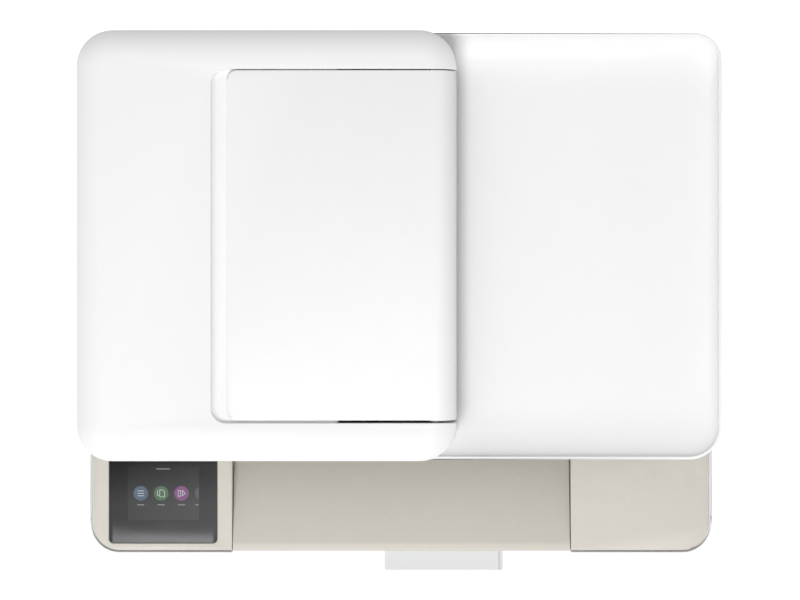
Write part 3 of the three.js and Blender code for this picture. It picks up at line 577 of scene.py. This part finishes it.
def lit_mark(name, colour, glow):
    """An icon or a mark on the lit screen."""
    material, tree, shader = blank_material(name)
    texture = use_group(tree, GRAIN, Grain_size=2000.0)
    base = mix_colour(tree, texture["Mottle"], shade(colour, 0.94), colour)
    tree.links.new(base, shader.inputs["Base Color"])
    tree.links.new(base, shader.inputs["Emission Color"])
    shader.inputs["Emission Strength"].default_value = glow
    rough = map_range(tree, texture["Gloss"], 0.0, 1.0, 0.2, 0.3)
    tree.links.new(rough, shader.inputs["Roughness"])
    return material


WHITE = moulded_plastic("white moulding", (0.86, 0.865, 0.86), 0.52, grain=1500.0, depth=0.035)
WHITE_SMOOTH = moulded_plastic("white lid moulding", (0.87, 0.875, 0.87), 0.46, grain=1700.0, depth=0.03)
SAND = moulded_plastic("sand moulding", (0.62, 0.59, 0.53), 0.5, grain=1300.0, depth=0.05, mottle=0.96)
# The output deck is the same sand plastic as the shoulders, its colour darkened as painted shade for the
# shadow in the bay.
SAND_DECK_SHADED = moulded_plastic(
    "shaded sand deck moulding", (0.54, 0.51, 0.455), 0.55, grain=1300.0, depth=0.04, mottle=0.95
)
# Partly the tab's own pale grey, partly painted shade: the colour is darkened for the shadow the body above
# casts on it.
PALE_TAB_SHADED = moulded_plastic("shaded pale tab moulding", (0.69, 0.70, 0.70), 0.5, grain=1500.0)
DARK = moulded_plastic(
    "dark inner moulding", (0.028, 0.029, 0.031), 0.6, grain=1100.0, depth=0.06, wear=0.6, dust=0.05
)
GREY = moulded_plastic(
    "grey inner moulding", (0.30, 0.31, 0.32), 0.55, grain=1100.0, depth=0.05, wear=0.5, dust=0.06
)
TRIM_GREY = moulded_plastic(
    "grey trim moulding", (0.16, 0.165, 0.17), 0.35, grain=1600.0, wear=0.2, coat=0.3
)
BLACK_RUBBER = soft_rubber("black rubber", (0.035, 0.035, 0.036))
ROLLER_RUBBER = soft_rubber("grey roller rubber", (0.10, 0.105, 0.11))
STEEL = rolled_metal("rolled steel", (0.56, 0.57, 0.58), 0.36)
GROUND_STEEL = rolled_metal("ground steel", (0.66, 0.67, 0.68), 0.2, across=2500.0)
BRASS = rolled_metal("machined brass", (0.72, 0.55, 0.26), 0.3, across=1600.0)
GLASS = float_glass("clear glass", (0.93, 0.97, 0.96))
FOAM = foam_sheet("white foam sheet", (0.85, 0.85, 0.84))
BOARD = circuit_board("green board")
# Both materials carry the painted reflection of display_cover, grey towards the front and right.
COVER_GLASS = display_cover("black cover glass", (0.012, 0.012, 0.013), (0.075, 0.076, 0.078))
SCREEN = display_cover("screen ground", (0.012, 0.012, 0.013), (0.100, 0.101, 0.103))


# ---------------------------------------------------------------- base


def side_covers():
    wrap = 192.5
    middle_back = SHOULDER_BACK + 0.4
    for name, side, bay in (("left", -1, BAY_LEFT), ("right", 1, BAY_RIGHT)):
        ring = slab(BODY, BODY_CORNERS, PAN_TOP, COVER_TOP)
        inner = slab(BODY, BODY_CORNERS, 0, COVER_TOP + 1, COVER_THICK)
        rebate = slab(BODY, BODY_CORNERS, SHOULDER_TOP - 3, SHOULDER_TOP + 0.4, RIM)
        rebate = common(rebate, block(-230, 230, -200, middle_back, 0, 200))
        climb = [(-200, SHOULDER_TOP), (-78, SHOULDER_TOP), (-64, 200), (-200, 200)]
        cover = cut(ring, inner, rebate, along_x(climb, -230, 230))
        x0, x1 = sorted((side * 220, side * wrap))
        kept = block(x0, x1, -200, 200, 0, 200)
        x0, x1 = sorted((side * (wrap + 1), bay + side * 0.4))
        kept = join(kept, block(x0, x1, -200, BODY[2] + COVER_THICK + 0.1, 0, 200))
        cover = common(cover, kept)
        x0, x1 = sorted((side * 230, side * (BODY[1] - 0.6)))
        seam = block(x0, x1, SEAM_Y - 0.3, SEAM_Y + 0.3, 0, 200)
        fit(soften(cut(cover, seam), 0.45), f"cover_{name}", "base", WHITE, [f"side_cover_{name}"])


def rear_panel():
    edge = 192.1
    plate = block(-edge, edge, BODY[3] - 3, BODY[3], PAN_TOP, COVER_TOP)
    added = [rod_y((x, z), 3, 166, 174) for x in (28, 176) for z in (22, 96)]
    hollows = [block(-181.5, -154.5, 170, 180, 21.5, 42.5), rod_y((150, 60), 7.6, 170, 180)]
    for x in (-SCANNER_HINGE_X, SCANNER_HINGE_X):
        for middle in (x - 11.5, x + 11.5):
            added.append(rod_x(SCANNER_HINGE, 2.6, middle - 2.5, middle + 2.5))
            added.append(block(middle - 2.5, middle + 2.5, 171.9, 177.1, 118, SCANNER_HINGE[1]))
        hollows.append(block(x - 9, x + 9, 170, 180, 122, 140))
        hollows.append(rod_x(SCANNER_HINGE, 1.5, x - 20, x + 20, 24))
    hollows += [block(-65 + i * 15, -55 + i * 15, 170, 180, 96, 99) for i in range(9)]
    panel = cut(join(plate, *added), *hollows)
    fit(soften(panel, 0.4), "back_cover", "base", WHITE, ["rear_panel"])


def screws():
    """Cross-head screws that hold the rear panel."""
    for i, (x, z) in enumerate(((-183, 112), (183, 112), (-90, 20), (90, 20), (183, 20))):
        head = domed((x - 3.4, x + 3.4, z - 3.4, z + 3.4), (3.39,) * 4, 0, 1.4, 1.0)
        level = block(x - 2.2, x + 2.2, z - 0.4, z + 0.4, 0.6, 2)
        upright = block(x - 0.4, x + 0.4, z - 2.2, z + 2.2, 0.6, 2)
        slots = [level, upright]
        head = cut(head, *slots)
        head.data.transform(Matrix(((1, 0, 0, 0), (0, 0, 1, BODY[3] * MM), (0, 1, 0, 0), (0, 0, 0, 1))))
        head.data.flip_normals()
        fit(head, f"screw_{i + 1}", "base", GROUND_STEEL)


def shoulder_shell(x_edges, corners, bay_wall):
    """A flat top plate with a skirt inside the covers and a wall along the bay."""
    box = (*x_edges, BODY[2] + RIM + SHOULDER_GAP, SHOULDER_BACK)
    inset = COVER_THICK - RIM
    plate = slab(box, corners, SHOULDER_TOP - WALL, SHOULDER_TOP)
    skirt = cut(
        slab(box, corners, SHOULDER_TOP - 14, SHOULDER_TOP - 1, inset),
        slab(box, corners, 0, SHOULDER_TOP - WALL, inset + RIM),
    )
    wall = block(*bay_wall, BODY[2] + COVER_THICK + 0.4, SHOULDER_BACK, PAN_TOP, SHOULDER_TOP)
    return cut(join(plate, skirt, wall), rod_x(FRONT_COVER_HINGE, 1.6, -122, 122, 24))


DISPLAY = (-203.1, -128.1, -162.6, -97.5)
DISPLAY_CORNERS = (3, 3, 0.4, 0.4)


def shoulders():
    outer = BODY[1] - RIM - SHOULDER_GAP
    corner = BODY_CORNERS[0] - RIM - SHOULDER_GAP
    left = shoulder_shell((-outer, BAY_LEFT), (corner, 0, 0, 0), (BAY_LEFT - WALL, BAY_LEFT))
    right = shoulder_shell((BAY_RIGHT, outer), (0, corner, 0, 0), (BAY_RIGHT, BAY_RIGHT + WALL))
    pocket = slab(DISPLAY, DISPLAY_CORNERS, SHOULDER_TOP - 1.7, SHOULDER_TOP + 3, -0.3)
    window = slab(DISPLAY, (1,) * 4, SHOULDER_TOP - 16, SHOULDER_TOP + 3, 4)
    left = cut(left, pocket, window)
    fit(soften(left, 0.5), "left_shoulder", "base", SAND, ["shoulder_left"])
    fit(soften(right, 0.5), "right_shoulder", "base", SAND, ["shoulder_right"])


def bend(corner, before, after, radius, steps=6):
    """An arc of the given radius in place of a corner of a profile."""
    corner, before, after = Vector(corner), Vector(before), Vector(after)
    inward, outward = (before - corner).normalized(), (after - corner).normalized()
    half = inward.angle(outward) / 2
    reach = radius / math.tan(half)
    centre = corner + (inward + outward).normalized() * (radius / math.sin(half))
    start, end = corner + inward * reach - centre, corner + outward * reach - centre
    points = []
    for i in range(steps + 1):
        arm = (start * (1 - i / steps) + end * (i / steps)).normalized() * radius
        points.append(tuple(centre + arm))
    return points


def front_cover():
    """The hinged cover between the shoulders: a front face, a flat lip and a plate that falls away."""
    back = FRONT_COVER_BACK
    low = SHOULDER_TOP - FRONT_COVER_DEPTH
    top_back = (back, SHOULDER_TOP - FRONT_COVER_DROP)
    lip, edge, foot = (FRONT_COVER_LIP, SHOULDER_TOP), (FRONT_FACE, SHOULDER_TOP), (FRONT_FACE, low)
    section = [(FRONT_FACE + WALL, low), (FRONT_FACE + WALL, SHOULDER_TOP - WALL - 0.4)]
    section += [(FRONT_COVER_LIP, SHOULDER_TOP - WALL), (back, top_back[1] - WALL), top_back]
    section += bend(lip, top_back, edge, 7.0) + bend(edge, lip, foot, 1.6) + [foot]
    cover = along_x(section, BAY_LEFT + 0.45, BAY_RIGHT - 0.45)
    pin = rod_x(FRONT_COVER_HINGE, 1.2, BAY_LEFT - 2, BAY_RIGHT + 2, 24)
    fit(soften(join(cover, pin), 0.3), "sand_front_cover", "front_flap", SAND, ["front_cover"])


# ---------------------------------------------------------------- touch display

LCD = (-190.1, -140.6, -146.8, -109.5)
LCD_LEVEL = 0.02
ICON_RADIUS = 5.1
ICON_Y = -128.1
LABEL_DROP = 8.0
ICONS = (
    ("menu", -181.2, (0.068, 0.092, 0.124)),
    ("copies", -167.0, (0.058, 0.105, 0.058)),
    ("pages", -152.8, (0.145, 0.060, 0.140)),
)


def on_screen(piece, name, material):
    """Lays a mark made on z = 0 on the display."""
    piece.data.transform(Matrix.Translation((0, 0, SHOULDER_TOP * MM)))
    fit(piece, name, "base", material)


def touch_display():
    glass = slab(DISPLAY, DISPLAY_CORNERS, SHOULDER_TOP - 1.3, SHOULDER_TOP)
    module = slab(DISPLAY, (1,) * 4, SHOULDER_TOP - 6, SHOULDER_TOP - 1, 6)
    display = soften(join(glass, module), 0.25)
    fit(display, "display_front", "base", COVER_GLASS, ["touch_display"])
    on_screen(slab(LCD, (0.6,) * 4, 0, LCD_LEVEL), "lit_screen", SCREEN)


def stroke(points, width, level, closed=False):
    """A line of even width drawn flat through points (x, y)."""
    half = width / 2
    strips = []
    pairs = list(zip(points, points[1:] + points[:1])) if closed else list(zip(points, points[1:]))
    for (x0, y0), (x1, y1) in pairs:
        length = math.hypot(x1 - x0, y1 - y0)
        dx, dy = (x1 - x0) / length, (y1 - y0) / length
        corners = []
        for along, across in ((-1, -1), (1, -1), (1, 1), (-1, 1)):
            x, y = (x0, y0) if along < 0 else (x1, y1)
            spot_x = x + along * half * dx - across * half * dy
            spot_y = y + along * half * dy + across * half * dx
            corners.append((spot_x, spot_y))
        strips.append([[(x, y, z) for x, y in corners] for z in (0, level)])
    bars = [loft(rings, "stroke") for rings in strips]
    return join(bars[0], *bars[1:]) if len(bars) > 1 else bars[0]


def icons():
    mark = lit_mark("icon line", (0.40, 0.43, 0.45), 0.3)
    faint = lit_mark("icon label", (0.22, 0.23, 0.24), 0.3)
    level = 0.06
    label_y = (ICON_Y - LABEL_DROP - 0.3, ICON_Y - LABEL_DROP + 0.3)
    for name, x, colour in ICONS:
        disc = rod_z(x, ICON_Y, ICON_RADIUS, 0, LCD_LEVEL + 0.02, 64)
        on_screen(disc, f"icon_{name}", lit_mark(f"icon {name}", colour, 0.5))
        on_screen(block(x - 2.4, x + 2.4, *label_y, 0, level), f"icon_{name}_label", faint)
    edge = LCD[1] - 0.2
    part = rod_z(edge + 2.4, ICON_Y, ICON_RADIUS, 0, LCD_LEVEL + 0.02, 64)
    part = cut(part, block(edge, edge + 10, ICON_Y - 10, ICON_Y + 10, -1, 1))
    on_screen(part, "icon_next", lit_mark("icon next", (0.08, 0.075, 0.095), 0.4))
    on_screen(block(edge - 2.4, edge - 0.2, *label_y, 0, level), "icon_next_label", faint)
    on_screen(block(-170.2, -160.8, -111.4, -110.8, 0, level), "screen_handle", faint)
    menu = ICONS[0][1]
    for i in (-1, 0, 1):
        y = ICON_Y + i * 1.7
        on_screen(block(menu - 2.3, menu + 2.3, y - 0.22, y + 0.22, 0, level), f"menu_line_{i + 2}", mark)
    copies = ICONS[1][1]
    front_page = [(copies - 1.0, ICON_Y - 2.4), (copies + 2.4, ICON_Y - 2.4), (copies + 2.4, ICON_Y + 1.0)]
    front_page += [(copies + 1.2, ICON_Y + 2.4), (copies - 1.0, ICON_Y + 2.4)]
    on_screen(stroke(front_page, 0.4, level, True), "copies_front_page", mark)
    back_page = [(copies - 1.0, ICON_Y - 1.5), (copies - 2.5, ICON_Y - 1.5), (copies - 2.5, ICON_Y + 2.0)]
    on_screen(stroke(back_page, 0.4, level), "copies_back_page", mark)
    pages = ICONS[2][1]
    page = [(pages - 2.3, ICON_Y - 2.0), (pages - 0.6, ICON_Y - 2.0), (pages - 0.6, ICON_Y + 2.0)]
    page += [(pages - 2.3, ICON_Y + 2.0)]
    on_screen(stroke(page, 0.4, level, True), "pages_left_page", mark)
    turned = [(pages + 0.6, ICON_Y + 2.2), (pages + 2.6, ICON_Y - 0.2), (pages + 0.6, ICON_Y - 1.6)]
    on_screen(stroke(turned, 0.4, level, True), "pages_right_page", mark)


# ---------------------------------------------------------------- paper tray and output bay


def tray_front():
    face = [(FRONT_FACE, 9.5), (-163.4, 9.5), (-163.4, 49.5)]
    face += [(-159.5, 49.5), (-159.5, 53.6), (-162.8, 53.6)]
    inner, outer, foot = (-162.8, 61.2), (FRONT_FACE, 61.2), (FRONT_FACE, 9.5)
    face += bend(inner, (-162.8, 53.6), outer, 1.4) + bend(outer, inner, foot, 2.6)
    front = along_x(face, BAY_LEFT + 0.6, BAY_RIGHT - 0.6)
    front = cut(front, block(-13.6, 73.2, -170, -150, 42.5, 47.4))
    fit(soften(front, 0.4), "tray_fascia", "tray", WHITE, ["tray_front"])


def output_deck():
    wide = block(-115.3, 116.8, -162.2, -44, 54, 56.4)
    narrow = block(-109.6, 109.6, -50, -29, 54, 56.4)
    pins = rod_x(DECK_HINGE, 1.2, -112.6, 112.6)
    ribs = [block(x - 0.8, x + 0.8, -158, -46, 56, 57.2) for x in range(-90, 91, 30)]
    fit(soften(join(wide, narrow, pins, *ribs), 0.4), "paper_deck", "deck", SAND_DECK_SHADED, ["output_deck"])


TAB = (-12.6, 72.2, -186.4, -60)


def tray_extender():
    plate = slab(TAB, (1.6, 1.6, 2, 2), 43.4, 46.2)
    ridge = block(TAB[1] - 3.2, TAB[1] - 2.4, TAB[2] + 0.8, -168, 45, 46.4)
    tab = soften(join(plate, ridge), 0.35, split=False)
    fit(tab, "extender_tab", "extender", PALE_TAB_SHADED, ["tray_extender"])


# ---------------------------------------------------------------- scanner


def scanner_bed():
    outer = slab(BED, BED_CORNERS, BED_BOTTOM, BED_TOP)
    tub = cut(outer, slab(BED, BED_CORNERS, BED_BOTTOM + WALL, BED_TOP + 5, WALL))
    added = []
    for x in (-SCANNER_HINGE_X, SCANNER_HINGE_X):
        added.append(rod_x(SCANNER_HINGE, 2.6, x - 8.4, x + 8.4))
        added.append(rod_x(SCANNER_HINGE, 1.1, x - 13.5, x + 13.5, 24))
        added.append(block(x - 8.4, x + 8.4, 173.2, 175.8, SCANNER_HINGE[1], BED_BOTTOM + 1))
    fit(soften(join(tub, *added), 0.6), "scanner_tub", "scanner", WHITE, ["scanner_bed"])


def scanner_frame():
    plate = slab(BED, BED_CORNERS, BED_TOP + 0.3, FRAME_TOP)
    hollows = [block(-128, 176, -67.5, 152.5, 140, 160), block(-170, -150, -67, 152, 140, 160)]
    hollows += [block(x - 8.5, x + 8.5, 165, 190, 140, 160) for x in (-LID_HINGE_X, LID_HINGE_X)]
    fit(soften(cut(plate, *hollows), 0.5), "scanner_bezel", "scanner", WHITE, ["scanner_frame"])
    ruler()


def ruler():
    """Paper-size marks round the flatbed glass: ticks and a corner arrow, with no figures."""
    z = FRAME_TOP
    for i in range(30):
        length = 5 if i % 5 == 0 else 3
        x = -120 + i * 10
        tick = block(x - 0.2, x + 0.2, 154.5, 154.5 + length, z - 0.2, z + 0.03)
        fit(tick, f"ruler_tick_{i + 1}", "scanner", TRIM_GREY)
    levels = (z - 0.2, z + 0.03)
    arrow = loft([[(-132, 156.5, h), (-136.5, 161, h), (-136.5, 156.5, h)] for h in levels], "arrow")
    fit(arrow, "corner_arrow", "scanner", TRIM_GREY)


# ---------------------------------------------------------------- lid

DISH_LEFT = -30
DISH_RIM = 2.0
DISH_BLEND = 36
DISH_SIDE_BLEND = 9
DISH_CORNERS = (0, 20, 16, 0)
DISH_STEPS = 18


def dish_ring(share, z):
    long = DISH_RIM + DISH_BLEND * share
    right = LID[1] - DISH_RIM - DISH_SIDE_BLEND * share
    return [(x, y, z) for x, y in outline((DISH_LEFT, right, LID[2] + long, LID[3] - long), DISH_CORNERS)]


def dish_hollow():
    """The page output dish: long hollow curves at the front and back, a short one at the right."""
    rings = []
    for i in range(DISH_STEPS + 1):
        angle = i / DISH_STEPS * math.pi / 2
        rings.append(dish_ring(1 - math.sin(angle), LID_RIM - (LID_RIM - DISH_FLOOR) * math.cos(angle)))
    rings.append(dish_ring(0, LID_RIM + 5))
    return loft(rings, "dish")


def lid_shell():
    low = slab(LID, LID_CORNERS, LID_BOTTOM, LID_SEAM)
    high = slab(LID, LID_CORNERS, LID_SEAM - 1, LID_RIM)
    high = cut(high, slab(FEEDER, FEEDER_CORNERS, LID_SEAM, TOP, -0.6))
    shell = join(low, high)
    underside = slab(LID, LID_CORNERS, 140, 157, 3)
    well = slab((LID[0], 36, LID[2], LID[3]), (24, 24, 24, 24), LID_DECK, 200, 3)
    shell = cut(shell, underside, well, dish_hollow())
    ears = []
    for x in (-LID_HINGE_X, LID_HINGE_X):
        for a, b in ((x - 11, x - 7.3), (x + 7.3, x + 11)):
            ears.append(block(a, b, 171.5, 184, 151, 158))
    holes = [rod_x(LID_HINGE, 2.3, -150, 150, 24), block(-173, -145.5, -66, 151, 140, 180)]
    for y in HOUSING_HINGE_Y:
        x, z = HOUSING_HINGE
        ears.append(rod_y(HOUSING_HINGE, 1.6, y - 9.5, y + 9.5, 24))
        ears.append(block(x - 1.6, x + 1.6, y - 9.5, y + 9.5, 160, z))
        holes.append(rod_y(HOUSING_HINGE, 1.2, y - 12, y + 12, 24))
    shell = cut(join(shell, *ears), *holes)
    fit(soften(shell, 0.5, 3, 42), "lid_body", "lid", WHITE_SMOOTH, ["lid_shell"], 24)


# ---------------------------------------------------------------- document feeder

COVE_WIDTH = 4.6
COVE_SIDE = 1.0
RECESS_CORNERS = (10, 0, 0, 10)


def feeder_dome(z0, top, inset=0.0):
    """The feeder's body: a left wall that leans in a little, then an arc that meets the flat top."""
    left, right, front, back = FEEDER

    def edge_ring(lean, share, z):
        box = (left + lean, right, front, back)
        flat = outline(box, FEEDER_CORNERS, inset + (FEEDER_EDGE - inset) * share)
        return [(x, y, z) for x, y in flat]

    rings = [edge_ring(0, 0, z0), edge_ring(FEEDER_DRAFT, 0, FEEDER_DRAFT_TOP)]
    for i in range(EDGE_STEPS + 1):
        turn = FEEDER_EDGE_ANGLE * (1 - i / EDGE_STEPS)
        share = 1 - math.sin(turn) / math.sin(FEEDER_EDGE_ANGLE)
        drop = FEEDER_EDGE_FALL * (1 - math.cos(turn)) / (1 - math.cos(FEEDER_EDGE_ANGLE))
        rings.append(edge_ring(FEEDER_DRAFT, share, top - drop))
    return loft(rings, "dome")


def recess_hollow():
    """The recess round the input tray: steep at the front and back, with a cove along the left."""
    left, right, front, back = RECESS
    rings = []
    steps = 10
    for i in range(steps + 1):
        depth = RECESS_DEPTH * math.cos(i / steps * math.pi / 2)
        bow = 1 - math.sqrt(max(0.0, 1 - (depth / RECESS_DEPTH) ** 2))
        box = (left + COVE_WIDTH * bow, right, front + COVE_SIDE * bow, back - COVE_SIDE * bow)
        rings.append([(x, y, TOP - depth) for x, y in outline(box, RECESS_CORNERS)])
    rings.append([(x, y, TOP + 5) for x, y in outline(RECESS, RECESS_CORNERS)])
    return loft(rings, "recess")


def feeder_housing():
    floor = slab((-128.5, THROAT_LEFT, -78, 162.7), (12.5, 0, 0, 12.5), 193.5, TOP - 1)
    front, back = RECESS[2], RECESS[3]
    inner = [
        block(THROAT_LEFT - 3, 60, -78, front + 0.5, 172, TOP - 1),
        block(THROAT_LEFT - 3, 60, back - 0.5, 162.7, 172, TOP - 1),
        block(THROAT_LEFT - 2.5, THROAT_LEFT, -78, 162.7, 186, TOP - 2),
        block(-79, -71, 20, 21.6, 177, 194),
        block(-79, -71, 63.4, 65, 177, 194),
    ]
    inside = cut(feeder_dome(FEEDER_BOTTOM - 5, TOP - WALL, WALL), floor, *inner)
    hollows = [
        recess_hollow(),
        block(THROAT_LEFT, 60, front, back, 150, TOP + 5),
        rod_y(TRAY_HINGE, 3.1, -79, 164, 24),
        rod_y((-75, 181.6), 2.4, 15, 70, 24),
    ]
    pins = []
    x, z = HOUSING_HINGE
    for y in HOUSING_HINGE_Y:
        hollows.append(rod_y(HOUSING_HINGE, 2.2, y - 10, y + 10, 24))
        hollows.append(block(x - 3, x + 2.4, y - 10, y + 10, 150, z))
        pins.append(rod_y(HOUSING_HINGE, 0.9, y - 11.5, y + 11.5, 16))
    shell = join(cut(feeder_dome(FEEDER_BOTTOM, TOP), inside, *hollows), *pins)
    fit(soften(shell, 0.5, 3, 42, split=False), "feeder_top", "feeder_cover", WHITE, ["feeder_housing"], 24)


def arc(centre, radius, start, end, steps):
    points = []
    for i in range(steps + 1):
        angle = math.radians(start + (end - start) * i / steps)
        points.append((centre[0] + radius * math.cos(angle), centre[1] + radius * math.sin(angle)))
    return points


def input_tray():
    inside = TRAY_ROLL - TRAY_THICK
    left, _, front, back = TRAY_PLATE
    section = [(left, TOP - TRAY_THICK)] + arc(TRAY_HINGE, inside, 90, -25, 20)
    section += arc(TRAY_HINGE, TRAY_ROLL, -25, 90, 20) + [(left, TOP)]
    plate = common(along_y(section, front, back), slab(TRAY_PLATE, (7, 0, 0, 7), 150, 220))
    added = [
        rod_y(TRAY_HINGE, inside + 0.6, front + 0.01, front + 3),
        rod_y(TRAY_HINGE, inside + 0.6, back - 3, back - 0.01),
        rod_y(TRAY_HINGE, 2.6, front - 3.8, front + 1, 24),
        rod_y(TRAY_HINGE, 2.6, back - 1, back + 3.8, 24),
    ]
    fit(soften(join(plate, *added), 0.5), "folding_tray", "feeder_tray", WHITE, ["input_tray"])


# ---------------------------------------------------------------- carried-over parts

CARRIED = (
    (DARK, ("chassis_base", "platen", "paper_tray", "carriage", "black_cartridge", "colour_cartridge")),
    (DARK, ("pick_arm", "power_supply", "power_inlet", "scan_bar", "feeder_guide", "lid_hinge_left")),
    (DARK, ("lid_hinge_right", "document_guide_front", "document_guide_rear")),
    (GREY, ("idler_gear", "pinch_roller", "idler_pulley", "cartridge_latch_black")),
    (GREY, ("cartridge_latch_colour",)),
    (GREY, ("service_station", "paper_guide_left", "paper_guide_right")),
    (TRIM_GREY, ("power_button",)),
    (GLASS, ("flatbed_glass", "feeder_glass")),
    (FOAM, ("document_mat",)),
    (BLACK_RUBBER, ("foot_strip_front", "foot_strip_rear", "timing_belt")),
    (ROLLER_RUBBER, ("feed_roller", "output_roller", "pick_roller", "feeder_roller", "feeder_exit_roller")),
    (ROLLER_RUBBER, ("feeder_pick_roller",)),
    (STEEL, ("carriage_rail", "feed_motor", "carriage_motor")),
    (GROUND_STEEL, ("carriage_rod", "scan_rail", "star_wheel_shaft")),
    (BRASS, ("motor_pulley", "motor_pinion")),
    (BOARD, ("main_board",)),
)


def finish_carried_parts():
    for material, names in CARRIED:
        for name in names:
            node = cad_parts[name]
            node.data.materials.clear()
            node.data.materials.append(material)


# ---------------------------------------------------------------- floor and light


def floor_material():
    """A pale studio floor that reads as white and still takes a soft shadow."""
    material, tree, shader = blank_material("studio floor")
    texture = use_group(tree, GRAIN, Grain_size=200.0)
    base = mix_colour(tree, texture["Mottle"], (0.83, 0.83, 0.83), (0.85, 0.85, 0.85))
    tree.links.new(base, shader.inputs["Base Color"])
    shader.inputs["Roughness"].default_value = 0.9
    shader.inputs["Specular IOR Level"].default_value = 0.0
    shader.inputs["Emission Color"].default_value = (1, 1, 1, 1)
    seen = tree.nodes.new("ShaderNodeLightPath").outputs["Is Camera Ray"]
    tree.links.new(math_node(tree, "MULTIPLY", seen, 0.8), shader.inputs["Emission Strength"])
    return material


def floor():
    points = [(-9000, -9000, 0), (9000, -9000, 0), (9000, 9000, 0), (-9000, 9000, 0)]
    plane = solid("studio_floor", points, [(0, 1, 2, 3)])
    plane.data.materials.append(floor_material())


def soft_box(name, place, target, size, power):
    data = bpy.data.lights.new(name, "AREA")
    data.shape = "RECTANGLE"
    data.size, data.size_y = size
    data.energy = power
    lamp = bpy.data.objects.new(name, data)
    lamp.location = place
    lamp.rotation_euler = (Vector(target) - Vector(place)).to_track_quat("-Z", "Y").to_euler()
    bpy.context.collection.objects.link(lamp)


def light_the_room():
    world = bpy.data.worlds.new("studio")
    world.use_nodes = True
    tree = world.node_tree
    background = tree.nodes["Background"]
    parts = tree.nodes.new("ShaderNodeSeparateXYZ")
    tree.links.new(tree.nodes.new("ShaderNodeTexCoord").outputs["Generated"], parts.inputs[0])
    seen = tree.nodes.new("ShaderNodeLightPath").outputs["Is Camera Ray"]
    strength = math_node(tree, "MAXIMUM", map_range(tree, parts.outputs["Z"], 0.0, 1.0, 0.50, 0.53), seen)
    tree.links.new(strength, background.inputs["Strength"])
    background.inputs["Color"].default_value = (1, 1, 1, 1)
    bpy.context.scene.world = world
    soft_box("key", (-0.28, -1.45, 2.8), (0, 0, 0.1), (1.2, 0.9), 59)
    bpy.context.scene.view_settings.view_transform = "Standard"


# ---------------------------------------------------------------- assembly

place_camera()
light_the_room()
floor()
finish_carried_parts()
side_covers()
rear_panel()
screws()
shoulders()
front_cover()
touch_display()
icons()
tray_front()
output_deck()
tray_extender()
scanner_bed()
scanner_frame()
lid_shell()
feeder_housing()
input_tray()
